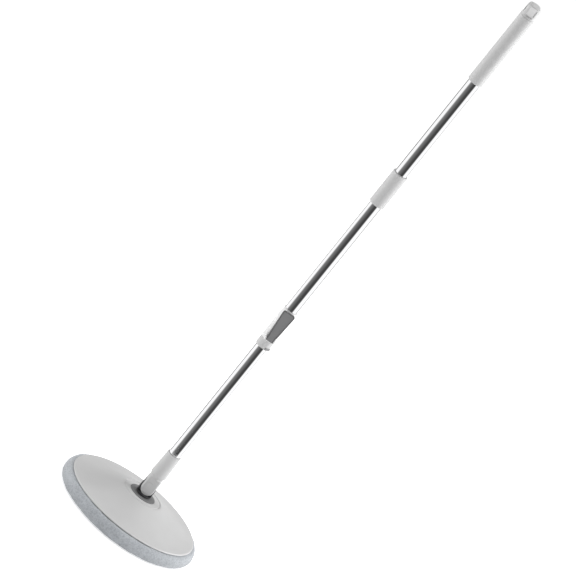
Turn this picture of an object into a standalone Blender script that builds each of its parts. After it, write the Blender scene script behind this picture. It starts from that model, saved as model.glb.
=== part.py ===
"""Spin mop: a floor mop with a round microfibre head that spins when its handle is pushed down.

Frame: the handle stands along +Z, the pad's underside is on Z = 0, and the lever faces -Y. Units are metres.
"""

import math

import bmesh
import bpy
from mathutils import Matrix

# ---------------------------------------------------------------- clearances and mesh density
FIT = 0.0003  # between pieces that are fixed to each other
RUN = 0.0004  # between pieces that move past each other
MERGE = 0.00001
OVERCUT = 0.002  # how far a cutter runs past the face it opens
DISC_SIDES = 48
TURNED_SIDES = 32
SCREW_SIDES = 10

# ---------------------------------------------------------------- mop head
PAD_RADIUS = 0.150
PAD_SOLE = 0.012
PAD_HEIGHT = 0.0285
PAD_ROUNDING = 0.011
PAD_LIP = 0.009
PLATE_RADIUS = 0.1325
PLATE_FLOOR = 0.0035
PLATE_WALL = 0.0025
TAPE_COUNT = 6
TAPE_LENGTH = 0.060
TAPE_WIDTH = 0.020
TAPE_THICKNESS = 0.0015
TAPE_CIRCLE = 0.075
COVER_RADIUS = 0.139
COVER_RIM = 0.0025
COVER_WALL = 0.0025
COVER_RISE = 0.027
COVER_SWEEP = 1.6  # 1 is a straight cone, and more is a deeper hollow
CROWN_RADIUS = 0.044
GROOVE_RADIUS = 0.0395
GROOVE_WIDTH = 0.0018
GROOVE_DEPTH = 0.0008
PLATE_SCREWS = 6
PLATE_SCREW_CIRCLE = 0.110
PLATE_SCREW_LENGTH = 0.012
BOSS_RADIUS = 0.004
SCREW_RADIUS = 0.0014
SCREW_HEAD_RADIUS = 0.0031
SCREW_HEAD_THICKNESS = 0.0014

# ---------------------------------------------------------------- hub and tilting fork
HUB_RADIUS = 0.0275
HUB_THICKNESS = 0.003
HUB_PROUD = 0.0008
BLOCK_RADIUS = 0.0159
BLOCK_BASE = 0.003
TONGUE_RADIUS = 0.0154
TONGUE_THICKNESS = 0.009
PIVOT_SCREW_SPACING = 0.019
PIVOT_SCREW_LENGTH = 0.013
CHEEK_RADIUS = 0.0138
CHEEK_THICKNESS = 0.0054
CHEEK_COVER_THICKNESS = 0.0009
CHEEK_COVER_MARGIN = 0.0026
CHEEK_COVER_STRETCH = 0.003
TILT_PIN_RADIUS = 0.0029
TILT_PIN_HEAD_RADIUS = 0.0042
TILT_PIN_HEAD_THICKNESS = 0.0013
PIN_CLIP_RADIUS = 0.005
PIN_CLIP_THICKNESS = 0.001
NECK_RADIUS = 0.0127
BARREL_RADIUS = 0.0162
FERRULE_LENGTH = 0.0835
FERRULE_WALL = 0.002
FERRULE_SOCKET = 0.042
FERRULE_SCREW_LENGTH = 0.0055
FORK_RISE = 0.0205  # of the fork's top above the tilt pin
NECK_RISE = 0.0255
BARREL_RISE = 0.034

# ---------------------------------------------------------------- tubes
LOWER_TUBE_RADIUS = 0.012
LOWER_TUBE_WALL = 0.0004
LOWER_TUBE_LENGTH = 0.4374
TUBE_OVERLAP = 0.117  # of the lower tube in the handle at full reach
POLE_RADIUS = 0.0125
POLE_WALL = 0.00035
UPPER_TUBE_LENGTH = 0.426

# ---------------------------------------------------------------- push-to-spin drive
STROKE = 0.180
SPIRAL_LEAD = 0.090
SPIRAL_SECTIONS_PER_TURN = 36
ROD_WIDTH = 0.007
ROD_THICKNESS = 0.002
ROD_CLEARANCE = 0.00045
STOP_RADIUS = 0.0075
STOP_HEIGHT = 0.005
CUP_DEPTH = 0.020
CUP_FLANGE = 0.0027
CUP_BORE = 0.005
CUP_STEP = 0.0017  # of its narrow neck, between the flange and the teeth
CUP_RELIEF = 0.0006
DOG_COUNT = 4  # slots right across a ring, so twice as many teeth
DOG_WIDTH = 0.0022
DOG_HEIGHT = 0.002
DOG_INNER_RADIUS = 0.0065
NUT_HEIGHT = 0.0066
SPRING_WIRE = 0.0005
SPRING_TURNS = 3
SPRING_POINTS_PER_TURN = 12
SPRING_SPACE = 0.0075
CARRIER_WALL = 0.001
CARRIER_ROOF = 0.002
STROKE_MARGIN = 0.018
ANCHOR_HEIGHT = 0.016

# ---------------------------------------------------------------- joiner and grip
JOINER_RADIUS = 0.0155
JOINER_REACH = 0.038
JOINER_WEB = 0.0034
SOCKET_HEIGHT = 0.0407
SOCKET_FLOOR = 0.004
STUD_RADIUS = 0.0058
STUD_THREADS = 4
STUD_THREAD_DEPTH = 0.0006
STUD_LENGTH = 0.031
STUD_PLUG = 0.0277
GRIP_RADIUS = 0.0152
GRIP_LENGTH = 0.164
GRIP_OVERHANG = 0.004
CAP_HEIGHT = 0.0262
CAP_SKIRT = 0.003
CAP_WIDTH = 0.0272
CAP_DEPTH = 0.0245
CAP_CORNER = 0.008
CAP_PLUG = 0.022
PANEL_WIDTH = 0.0176
PANEL_HEIGHT = 0.0205
PANEL_DEPTH = 0.0015
HANG_SLOT_WIDTH = 0.009
HANG_SLOT_HEIGHT = 0.012

# ---------------------------------------------------------------- lever clamp
COLLAR_HEIGHT = 0.018
COLLAR_WALL = 0.001
COLLAR_LIP = 0.0015
SPIGOT_WALL = 0.0009
SPIGOT_LENGTH = 0.011
BUSH_HEIGHT = 0.0049
CLAMP_HEIGHT = 0.0727
CLAMP_WALL = 0.0018
CLAMP_TOP_WALL = 0.0011
CLAMP_TUBE_SEAT = 0.015
SHOE_WIDTH = 0.0092
SHOE_HEIGHT = 0.0082
SHOE_THICKNESS = 0.0038
CAM_RADIUS = 0.0031
CAM_THROW = 0.0009
LEVER_PIVOT_RISE = 0.0065
LEVER_LENGTH = 0.0645
LEVER_NARROW = 0.0156
LEVER_SHOULDER = 0.0176
LEVER_WIDE = 0.0256
LEVER_CORNER = 0.004
LEVER_TIP_THICKNESS = 0.0024
LEVER_PIN_RADIUS = 0.0012
EAR_THICKNESS = 0.0023
EAR_RADIUS = 0.0034
CLIP_HEIGHT = 0.004
CLIP_THICKNESS = 0.0016
CLIP_FROM = math.radians(17)  # round the collar, from the front towards +X
CLIP_TO = math.radians(75)

# ---------------------------------------------------------------- heights worked out from the sizes
tape_bottom = PAD_SOLE + FIT
plate_bottom = tape_bottom + TAPE_THICKNESS + FIT
plate_top = plate_bottom + PLATE_FLOOR
cover_bottom = PAD_HEIGHT + 0.0005
crown_z = cover_bottom + COVER_RIM + COVER_RISE
hub_top = crown_z + HUB_PROUD
hub_bottom = hub_top - HUB_THICKNESS
cover_floor_top = hub_bottom - FIT
block_bottom = hub_top + FIT
block_top = block_bottom + BLOCK_BASE
tilt_z = block_top + RUN + CHEEK_RADIUS
cheek_inner = TONGUE_THICKNESS / 2 + RUN
cheek_outer = cheek_inner + CHEEK_THICKNESS
ferrule_top = tilt_z + FERRULE_LENGTH
lower_tube_bottom = ferrule_top - FERRULE_SOCKET + FIT
lower_tube_top = lower_tube_bottom + LOWER_TUBE_LENGTH

cup_bottom = lower_tube_top - CUP_DEPTH
flange_top = lower_tube_top + FIT + CUP_FLANGE
dogs_top = flange_top + 0.002 + DOG_HEIGHT
nut_bottom = dogs_top + RUN
nut_top = nut_bottom + DOG_HEIGHT + NUT_HEIGHT
carrier_bottom = flange_top + FIT
carrier_ceiling = nut_top + SPRING_SPACE
carrier_top = carrier_ceiling + CARRIER_ROOF
rod_bottom = cup_bottom - RUN - STOP_HEIGHT - 0.002
anchor_bottom = carrier_top + STROKE + STROKE_MARGIN
anchor_top = anchor_bottom + ANCHOR_HEIGHT
rod_top = anchor_top - 0.004
socket_bottom = anchor_top + 0.001
socket_top = socket_bottom + SOCKET_HEIGHT
middle_tube_top = socket_top + FIT
upper_tube_bottom = middle_tube_top + JOINER_WEB + 2 * FIT
upper_tube_top = upper_tube_bottom + UPPER_TUBE_LENGTH
grip_top = upper_tube_top + GRIP_OVERHANG
cap_bottom = grip_top + FIT
cap_top = cap_bottom + CAP_HEIGHT

collar_bottom = lower_tube_top - TUBE_OVERLAP
collar_top = collar_bottom + COLLAR_HEIGHT
clamp_bottom = collar_top + FIT
clamp_top = clamp_bottom + CLAMP_HEIGHT
middle_tube_bottom = clamp_bottom + CLAMP_TUBE_SEAT
lever_pivot_z = clamp_bottom + LEVER_PIVOT_RISE
shoe_inner = LOWER_TUBE_RADIUS + RUN
shoe_outer = shoe_inner + SHOE_THICKNESS
lever_pivot_y = -(shoe_outer + FIT + CAM_RADIUS + CAM_THROW)
plug_radius = POLE_RADIUS - POLE_WALL - FIT
tube_seat_radius = POLE_RADIUS + FIT
nose_front = -(shoe_outer - RUN)
nose_top = lever_pivot_z + SHOE_HEIGHT / 2 + 0.003
ear_inner = LEVER_NARROW / 2 + RUN
ear_outer = ear_inner + EAR_THICKNESS


# ---------------------------------------------------------------- materials
def linear(level):
    level = level / 255
    return level / 12.92 if level <= 0.04045 else ((level + 0.055) / 1.055) ** 2.4


def finish(name, red, green, blue, roughness, metallic=0.0, transmission=0.0):
    made = bpy.data.materials.new(name)
    made.use_nodes = True
    shader = made.node_tree.nodes["Principled BSDF"]
    shader.inputs["Base Color"].default_value = (linear(red), linear(green), linear(blue), 1)
    shader.inputs["Roughness"].default_value = roughness
    shader.inputs["Metallic"].default_value = metallic
    shader.inputs["Transmission Weight"].default_value = transmission
    made.diffuse_color = shader.inputs["Base Color"].default_value
    return made


for old in list(bpy.data.objects):
    bpy.data.objects.remove(old)

STAINLESS = finish("stainless", 225, 226, 228, 0.08, metallic=1.0)
STEEL = finish("steel", 170, 172, 175, 0.3, metallic=1.0)
LIGHT_GREY = finish("light_grey_plastic", 206, 207, 209, 0.35)
LEVER_GREY = finish("mid_grey_plastic", 124, 125, 127, 0.45)
DARK_GREY = finish("dark_grey_plastic", 118, 119, 121, 0.5)
BLACK = finish("black_plastic", 26, 26, 28, 0.5)
CLEAR_WHITE = finish("clear_white_plastic", 238, 240, 242, 0.3, transmission=0.4)
NYLON = finish("nylon", 232, 231, 226, 0.5)
MICROFIBRE = finish("microfibre", 168, 174, 182, 0.95)
HOOK_TAPE = finish("hook_tape", 205, 205, 205, 0.9)

parts = bpy.data.collections.new("spin_mop")
cutters = bpy.data.collections.new("cutters")
for group in (parts, cutters):
    bpy.context.scene.collection.children.link(group)


# ---------------------------------------------------------------- modelling helpers
def place(mesh, name, material=None, matrix=None):
    """Put a mesh in the scene: a part when it has a material, and a construction shape when it has none."""
    piece = bpy.data.objects.new(name, mesh)
    if material is None:
        cutters.objects.link(piece)
        piece.hide_render = True
        piece.display_type = "WIRE"
    else:
        parts.objects.link(piece)
        mesh.materials.append(material)
        mesh.shade_smooth()
        mesh.set_sharp_from_angle(angle=math.radians(30))
    piece.matrix_world = matrix or Matrix()
    return piece


def arc(centre_x, centre_y, radius, start, end, steps):
    """Points on an arc, in degrees, both ends included."""
    angles = [math.radians(start + (end - start) * step / steps) for step in range(steps + 1)]
    return [(centre_x + radius * math.cos(a), centre_y + radius * math.sin(a)) for a in angles]


def mesh_of(sketch):
    """The closed mesh that a curve or an object with modifiers makes. The object itself is removed."""
    bpy.context.view_layer.update()
    graph = bpy.context.evaluated_depsgraph_get()
    mesh = bpy.data.meshes.new_from_object(sketch.evaluated_get(graph))
    shape = bmesh.new()
    shape.from_mesh(mesh)
    bmesh.ops.remove_doubles(shape, verts=shape.verts, dist=MERGE)
    bmesh.ops.recalc_face_normals(shape, faces=shape.faces)
    shape.to_mesh(mesh)
    shape.free()
    bpy.data.objects.remove(sketch)
    return mesh


def turned(name, profile, material=None, sides=TURNED_SIDES):
    """A solid turned round Z, from a profile of (radius, height) points down the outside and up the inside.

    A profile that starts and ends on the axis stays open there, and any other one is closed.
    """
    count = len(profile)
    on_axis = profile[0][0] == 0 and profile[-1][0] == 0
    edges = [(index, (index + 1) % count) for index in range(count - 1 if on_axis else count)]
    outline = bpy.data.meshes.new(name)
    outline.from_pydata([(radius, 0, height) for radius, height in profile], edges, [])
    sketch = bpy.data.objects.new(name, outline)
    cutters.objects.link(sketch)
    screw = sketch.modifiers.new("turn", "SCREW")
    screw.steps = sides
    screw.render_steps = sides
    screw.use_merge_vertices = True
    screw.merge_threshold = MERGE
    return place(mesh_of(sketch), name, material)


def ring(name, outer, inner, bottom, top, material=None, sides=TURNED_SIDES):
    profile = [(outer, top), (outer, bottom), (inner, bottom), (inner, top)]
    return turned(name, profile, material, sides)


def cylinder(name, radius, length, matrix, material=None, sides=TURNED_SIDES):
    """A cylinder along the matrix's Z, centred on its origin."""
    mesh = bpy.data.meshes.new(name)
    shape = bmesh.new()
    bmesh.ops.create_cone(shape, cap_ends=True, segments=sides, radius1=radius, radius2=radius, depth=length)
    shape.to_mesh(mesh)
    shape.free()
    return place(mesh, name, material, matrix)


def box(name, low, high, material=None, matrix=None):
    mesh = bpy.data.meshes.new(name)
    shape = bmesh.new()
    size = [high[axis] - low[axis] for axis in range(3)]
    middle = [(high[axis] + low[axis]) / 2 for axis in range(3)]
    bmesh.ops.create_cube(shape, size=1, matrix=Matrix.Translation(middle) @ Matrix.Diagonal((*size, 1)))
    shape.to_mesh(mesh)
    shape.free()
    return place(mesh, name, material, matrix)


def slab(name, outline, thickness, matrix, material=None):
    """A flat outline in the matrix's XY plane, thickened to both sides along its Z."""
    curve = bpy.data.curves.new(name, "CURVE")
    curve.dimensions = "2D"
    curve.fill_mode = "BOTH"
    curve.extrude = thickness / 2
    spline = curve.splines.new("POLY")
    spline.points.add(len(outline) - 1)
    for point, (across, up) in zip(spline.points, outline):
        point.co = (across, up, 0, 1)
    spline.use_cyclic_u = True
    sketch = bpy.data.objects.new(name, curve)
    cutters.objects.link(sketch)
    return place(mesh_of(sketch), name, material, matrix)


def facing_front(y=0.0, z=0.0):
    """Outline X stays X, outline Y stands up along Z, and the thickness is along Y."""
    return Matrix.Translation((0, y, z)) @ Matrix.Rotation(math.radians(90), 4, "X")


def facing_side(x=0.0, z=0.0):
    """Outline X runs along Y, outline Y stands up along Z, and the thickness is along X."""
    return Matrix.Translation((x, 0, z)) @ Matrix.Rotation(math.radians(90), 4, "Z") @ facing_front()


def along_x(y, z):
    return Matrix.Translation((0, y, z)) @ Matrix.Rotation(math.radians(90), 4, "Y")


def racetrack(half_width, stretch, steps=12):
    """Two half rounds, the lower one centred on the origin and the upper one higher by the stretch."""
    return arc(0, stretch, half_width, 0, 180, steps) + arc(0, 0, half_width, 180, 360, steps)


def combine(piece, operation, *others):
    for other in others:
        step = piece.modifiers.new(other.name, "BOOLEAN")
        step.operation = operation
        step.object = other
    return piece


def cut(piece, *others):
    return combine(piece, "DIFFERENCE", *others)


def join(piece, *others):
    return combine(piece, "UNION", *others)


def keep_inside(piece, *others):
    return combine(piece, "INTERSECT", *others)


def round_positions(count, radius, start=0.0):
    """(x, y, angle) of places spaced evenly round Z."""
    angles = [start + 2 * math.pi * index / count for index in range(count)]
    return [(radius * math.cos(angle), radius * math.sin(angle), angle) for angle in angles]


def screw_from_below(name, x, y, head_top, length):
    """A pan-head screw that points up. Its head is under head_top, and its origin is on its own axis."""
    profile = [
        (0, length),
        (SCREW_RADIUS * 0.5, length),
        (SCREW_RADIUS, length - SCREW_RADIUS),
        (SCREW_RADIUS, 0),
        (SCREW_HEAD_RADIUS, 0),
        (SCREW_HEAD_RADIUS * 0.85, -SCREW_HEAD_THICKNESS),
        (0, -SCREW_HEAD_THICKNESS),
    ]
    screw = turned(name, profile, STEEL, SCREW_SIDES)
    screw.location = (x, y, head_top)
    return screw


# ---------------------------------------------------------------- mop head
def cover_height(radius):
    """Height of the cover's outer face, a hollow cone from its crown down to its rim."""
    share = (COVER_RADIUS - radius) / (COVER_RADIUS - CROWN_RADIUS)
    return cover_bottom + COVER_RIM + COVER_RISE * max(share, 0) ** COVER_SWEEP


def build_pad():
    inside = PLATE_RADIUS + 0.0005
    rounding = PAD_ROUNDING
    profile = [(0, PAD_SOLE), (inside, PAD_SOLE), (inside, PAD_HEIGHT - 0.001), (inside + 0.001, PAD_HEIGHT)]
    profile.append((inside + PAD_LIP, PAD_HEIGHT))
    profile += arc(PAD_RADIUS - rounding, PAD_HEIGHT - rounding, rounding, 45, 0, 3)
    profile += arc(PAD_RADIUS - rounding, rounding, rounding, 0, -90, 5)
    profile.append((0, 0))
    turned("mop_pad", profile, MICROFIBRE, DISC_SIDES)


def build_hook_tapes():
    for index, (x, y, angle) in enumerate(round_positions(TAPE_COUNT, TAPE_CIRCLE, math.pi / TAPE_COUNT)):
        low = (-TAPE_LENGTH / 2, -TAPE_WIDTH / 2, 0)
        high = (TAPE_LENGTH / 2, TAPE_WIDTH / 2, TAPE_THICKNESS)
        turn = Matrix.Translation((x, y, tape_bottom)) @ Matrix.Rotation(angle, 4, "Z")
        box(f"hook_tape_{index + 1}", low, high, HOOK_TAPE, turn)


def build_plate():
    wall_top = cover_bottom
    inside = PLATE_RADIUS - PLATE_WALL
    profile = [
        (0, plate_top),
        (inside, plate_top),
        (inside, wall_top),
        (PLATE_RADIUS, wall_top),
        (PLATE_RADIUS, plate_bottom),
        (0, plate_bottom),
    ]
    plate = turned("pad_plate", profile, NYLON, DISC_SIDES)
    pocket = SCREW_HEAD_THICKNESS + FIT
    for index, (x, y, _) in enumerate(round_positions(PLATE_SCREWS, PLATE_SCREW_CIRCLE)):
        name = f"plate_hole_{index + 1}"
        middle = (plate_bottom + plate_top) / 2
        through = PLATE_FLOOR + 2 * OVERCUT
        centre = Matrix.Translation((x, y, middle))
        hole = cylinder(name, SCREW_RADIUS + FIT, through, centre, sides=SCREW_SIDES)
        low = plate_bottom - OVERCUT
        centre = Matrix.Translation((x, y, low + (pocket + OVERCUT) / 2))
        head_pocket = cylinder(
            name + "_pocket", SCREW_HEAD_RADIUS + FIT, pocket + OVERCUT, centre, sides=SCREW_SIDES
        )
        cut(plate, hole, head_pocket)
        screw_from_below(f"plate_screw_{index + 1}", x, y, plate_bottom + pocket - FIT, PLATE_SCREW_LENGTH)


def build_cover():
    floor_radius = HUB_RADIUS + FIT
    shoulder = floor_radius + COVER_WALL
    flank_steps = 7
    flank_step = (COVER_RADIUS - 0.001 - CROWN_RADIUS) / flank_steps
    flank = [CROWN_RADIUS + flank_step * step for step in range(flank_steps + 1)]
    groove_in = GROOVE_RADIUS - GROOVE_WIDTH / 2
    groove_out = GROOVE_RADIUS + GROOVE_WIDTH / 2
    groove_floor = crown_z - GROOVE_DEPTH
    profile = [(0, cover_floor_top), (floor_radius, cover_floor_top), (floor_radius, crown_z)]
    profile += [(groove_in, crown_z), (groove_in, groove_floor)]
    profile += [(groove_out, groove_floor), (groove_out, crown_z)]
    profile += [(radius, cover_height(radius)) for radius in flank]
    profile += [(COVER_RADIUS, cover_height(COVER_RADIUS) - 0.0008), (COVER_RADIUS - 0.0004, cover_bottom)]
    profile.append((COVER_RADIUS - 0.003, cover_bottom))
    profile += [(radius, cover_height(radius) - COVER_WALL) for radius in reversed(flank[:-1])]
    profile += [(shoulder, crown_z - COVER_WALL), (shoulder, cover_floor_top - COVER_WALL)]
    profile.append((0, cover_floor_top - COVER_WALL))
    cover = turned("cover", profile, LIGHT_GREY, DISC_SIDES)
    boss_bottom = plate_top + FIT
    boss_top = cover_height(PLATE_SCREW_CIRCLE) - COVER_WALL / 2
    bosses = []
    pilots = []
    for index, (x, y, _) in enumerate(round_positions(PLATE_SCREWS, PLATE_SCREW_CIRCLE)):
        middle = Matrix.Translation((x, y, (boss_bottom + boss_top) / 2))
        tall = boss_top - boss_bottom
        bosses.append(cylinder(f"boss_{index + 1}", BOSS_RADIUS, tall, middle, sides=SCREW_SIDES))
        depth = plate_bottom + PLATE_SCREW_LENGTH + SCREW_HEAD_THICKNESS + 0.001 - boss_bottom
        middle = Matrix.Translation((x, y, boss_bottom + (depth - OVERCUT) / 2))
        pilot = cylinder(f"pilot_{index + 1}", SCREW_RADIUS + FIT, depth + OVERCUT, middle, sides=SCREW_SIDES)
        pilots.append(pilot)
    join(cover, *bosses)
    cut(cover, *pilots)
    for index, x in enumerate((-PIVOT_SCREW_SPACING / 2, PIVOT_SCREW_SPACING / 2)):
        middle = Matrix.Translation((x, 0, cover_floor_top - COVER_WALL / 2))
        through = COVER_WALL + 2 * OVERCUT
        name = f"cover_pivot_hole_{index + 1}"
        cut(cover, cylinder(name, SCREW_RADIUS + FIT, through, middle, sides=SCREW_SIDES))


def build_hub():
    edge = 0.0006
    profile = [(0, hub_top), (HUB_RADIUS - edge, hub_top), (HUB_RADIUS, hub_top - edge)]
    profile += [(HUB_RADIUS, hub_bottom), (0, hub_bottom)]
    hub = turned("hub_plate", profile, DARK_GREY, DISC_SIDES)
    head_top = cover_floor_top - COVER_WALL - FIT
    for index, x in enumerate((-PIVOT_SCREW_SPACING / 2, PIVOT_SCREW_SPACING / 2)):
        middle = Matrix.Translation((x, 0, (hub_bottom + hub_top) / 2))
        through = HUB_THICKNESS + 2 * OVERCUT
        cut(hub, cylinder(f"hub_hole_{index + 1}", SCREW_RADIUS + FIT, through, middle, sides=SCREW_SIDES))
        screw_from_below(f"pivot_screw_{index + 1}", x, 0, head_top, PIVOT_SCREW_LENGTH)


# ---------------------------------------------------------------- tilting joint
def build_pivot_block():
    drop = tilt_z - block_bottom
    outline = arc(0, 0, TONGUE_RADIUS, 0, 180, 20)
    outline += [(-TONGUE_RADIUS, -drop + BLOCK_BASE / 2), (TONGUE_RADIUS, -drop + BLOCK_BASE / 2)]
    tongue = slab("tongue", outline, TONGUE_THICKNESS, facing_front(0, tilt_z))
    base_middle = Matrix.Translation((0, 0, (block_bottom + block_top) / 2))
    block = cylinder("pivot_block", BLOCK_RADIUS, BLOCK_BASE, base_middle, BLACK)
    join(block, tongue)
    through = TONGUE_THICKNESS + 2 * OVERCUT
    bore = cylinder("tongue_bore", TILT_PIN_RADIUS + FIT, through, facing_front(0, tilt_z), sides=24)
    cut(block, bore)
    screw_top = cover_floor_top - COVER_WALL - FIT + PIVOT_SCREW_LENGTH
    depth = screw_top + 0.001 - block_bottom
    for index, x in enumerate((-PIVOT_SCREW_SPACING / 2, PIVOT_SCREW_SPACING / 2)):
        middle = Matrix.Translation((x, 0, block_bottom + (depth - OVERCUT) / 2))
        name = f"block_pilot_{index + 1}"
        pilot = cylinder(name, SCREW_RADIUS + FIT, depth + OVERCUT, middle, sides=SCREW_SIDES)
        cut(block, pilot)


def build_ferrule():
    top_radius = LOWER_TUBE_RADIUS + FIT + FERRULE_WALL
    lug_radius = CHEEK_RADIUS + 0.0014
    neck_z = tilt_z + NECK_RISE
    barrel_z = tilt_z + BARREL_RISE
    lug_top = tilt_z + FORK_RISE
    lug_bottom = tilt_z - CHEEK_RADIUS - 0.001
    profile = [(0, ferrule_top), (top_radius - 0.0006, ferrule_top), (top_radius, ferrule_top - 0.0006)]
    profile += [(BARREL_RADIUS - 0.0002, barrel_z + 0.006), (BARREL_RADIUS, barrel_z + 0.002)]
    profile.append((BARREL_RADIUS, barrel_z))
    profile += arc(BARREL_RADIUS - 0.0025, barrel_z - 0.001, 0.0025, 0, -50, 2)[1:]
    profile += [(NECK_RADIUS, neck_z + 0.002), (NECK_RADIUS, neck_z), (lug_radius, lug_top)]
    profile += [(lug_radius, lug_bottom), (0, lug_bottom)]
    ferrule = turned("ferrule", profile, LIGHT_GREY)

    wide = BARREL_RADIUS + 0.005
    outline = [(wide, neck_z), (wide, ferrule_top + OVERCUT), (-wide, ferrule_top + OVERCUT)]
    outline.append((-wide, neck_z))
    outline.append((-CHEEK_RADIUS, lug_top - 0.001))
    outline += arc(0, tilt_z, CHEEK_RADIUS, 180, 360, 20)
    outline.append((CHEEK_RADIUS, lug_top - 0.001))
    keep_inside(ferrule, slab("fork_outline", outline, 2 * wide, facing_front()))

    crotch = tilt_z + TONGUE_RADIUS + 2 * RUN
    slot = box("fork_slot", (-wide, -cheek_inner, lug_bottom - OVERCUT), (wide, cheek_inner, crotch))
    cut(ferrule, slot)
    for side, name in ((-1, "front"), (1, "back")):
        edges = sorted((side * cheek_outer, side * wide))
        low = (-wide, edges[0], lug_bottom - OVERCUT)
        cut(ferrule, box(f"flat_{name}", low, (wide, edges[1], neck_z - 0.001)))
    bore = cylinder("fork_bore", TILT_PIN_RADIUS + FIT, 2 * wide, facing_front(0, tilt_z), sides=24)
    cut(ferrule, bore)

    floor = cheek_outer - CHEEK_COVER_THICKNESS - FIT
    half_width = CHEEK_RADIUS - CHEEK_COVER_MARGIN
    recess = {"front": TILT_PIN_HEAD_RADIUS, "back": PIN_CLIP_RADIUS}
    recess_depth = max(TILT_PIN_HEAD_THICKNESS, PIN_CLIP_THICKNESS) + 2 * FIT
    for side, name in ((-1, "front"), (1, "back")):
        deep = cheek_outer - floor + OVERCUT
        middle = facing_front(side * (floor + deep / 2), tilt_z)
        pocket = slab(f"cover_pocket_{name}", racetrack(half_width, CHEEK_COVER_STRETCH), deep, middle)
        deep = recess_depth + OVERCUT
        middle = facing_front(side * (floor - recess_depth + deep / 2), tilt_z)
        counterbore = cylinder(f"pin_recess_{name}", recess[name] + FIT, deep, middle, sides=24)
        cut(ferrule, pocket, counterbore)
        lid = racetrack(half_width - FIT, CHEEK_COVER_STRETCH)
        middle = facing_front(side * (floor + FIT + CHEEK_COVER_THICKNESS / 2), tilt_z)
        slab(f"cheek_cover_{name}", lid, CHEEK_COVER_THICKNESS, middle, LIGHT_GREY)

    socket_floor = lower_tube_bottom - FIT
    deep = ferrule_top - socket_floor + OVERCUT
    middle = Matrix.Translation((0, 0, socket_floor + deep / 2))
    cut(ferrule, cylinder("tube_socket", LOWER_TUBE_RADIUS + FIT, deep, middle))
    return floor, recess_depth


def build_tilt_pin(pocket_floor, recess_depth):
    """The pin lies along Y. Its head is in the front cheek and its clip in the back one."""
    end = pocket_floor - FIT
    head_back = -(pocket_floor - recess_depth + FIT)
    head_front = head_back - TILT_PIN_HEAD_THICKNESS
    shank = end - head_back
    pin = cylinder("tilt_pin", TILT_PIN_RADIUS, shank, facing_front((end + head_back) / 2, tilt_z), STEEL, 20)
    overlap = 0.0002
    middle = facing_front((head_front + head_back + overlap) / 2, tilt_z)
    head = cylinder("pin_head", TILT_PIN_HEAD_RADIUS, TILT_PIN_HEAD_THICKNESS + overlap, middle, sides=20)
    join(pin, head)
    clip_front = pocket_floor - recess_depth + FIT
    clip = ring("pin_clip", PIN_CLIP_RADIUS, TILT_PIN_RADIUS + FIT, 0, PIN_CLIP_THICKNESS, STEEL, 20)
    lying = Matrix.Rotation(math.radians(-90), 4, "X")
    clip.matrix_world = Matrix.Translation((0, clip_front, tilt_z)) @ lying


def build_lower_tube():
    inner = LOWER_TUBE_RADIUS - LOWER_TUBE_WALL
    tube = ring("lower_tube", LOWER_TUBE_RADIUS, inner, lower_tube_bottom, lower_tube_top, STAINLESS)
    screw_z = ferrule_top - FERRULE_SOCKET / 2
    deep = BARREL_RADIUS - inner + 2 * OVERCUT
    middle = facing_front(inner - OVERCUT + deep / 2, screw_z)
    hole = cylinder("ferrule_screw_hole", SCREW_RADIUS + FIT, deep, middle, sides=SCREW_SIDES)
    cut(tube, hole)
    seat = LOWER_TUBE_RADIUS + FIT + FERRULE_WALL
    deep = BARREL_RADIUS - seat + OVERCUT
    middle = facing_front(seat + deep / 2, screw_z)
    pocket = cylinder("screw_pocket", SCREW_HEAD_RADIUS + FIT, deep, middle, sides=20)
    cut(bpy.data.objects["ferrule"], hole, pocket)
    screw = screw_from_below("ferrule_screw", 0, 0, 0, FERRULE_SCREW_LENGTH)
    screw.matrix_world = facing_front(seat + FIT, screw_z)


# ---------------------------------------------------------------- push-to-spin drive
def twisted_strip(name, extra, ends, material=None):
    """The spiral rod's strip, grown by extra on each face and by ends at each end, with the same twist."""
    low = (-(ROD_WIDTH / 2 + extra), -(ROD_THICKNESS / 2 + extra), -ends)
    length = rod_top - rod_bottom
    high = (ROD_WIDTH / 2 + extra, ROD_THICKNESS / 2 + extra, length + ends)
    strip = box(name, low, high, material)
    strip.location = (0, 0, rod_bottom)
    shape = bmesh.new()
    shape.from_mesh(strip.data)
    sections = round((length + 2 * ends) / SPIRAL_LEAD * SPIRAL_SECTIONS_PER_TURN)
    upright = [edge for edge in shape.edges if abs(edge.verts[0].co.z - edge.verts[1].co.z) > length / 2]
    bmesh.ops.subdivide_edges(shape, edges=upright, cuts=sections - 1, use_grid_fill=True)
    everything = shape.verts[:] + shape.edges[:] + shape.faces[:]
    bmesh.ops.bisect_plane(shape, geom=everything, plane_co=(0, 0, 0), plane_no=(1, 0, 0))
    shape.to_mesh(strip.data)
    shape.free()
    twist = strip.modifiers.new("twist", "SIMPLE_DEFORM")
    twist.deform_method = "TWIST"
    twist.deform_axis = "Z"
    twist.angle = 2 * math.pi * (length + 2 * ends) / SPIRAL_LEAD
    return strip


def dog_slots(name, bottom, top):
    """Cutters for slots right across a ring, which leave the teeth of a dog clutch."""
    reach = POLE_RADIUS
    slots = []
    for index in range(DOG_COUNT):
        turn = Matrix.Rotation(math.pi * index / DOG_COUNT, 4, "Z")
        low = (-reach, -DOG_WIDTH / 2, bottom)
        slots.append(box(f"{name}_{index + 1}", low, (reach, DOG_WIDTH / 2, top), matrix=turn))
    return slots


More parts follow.
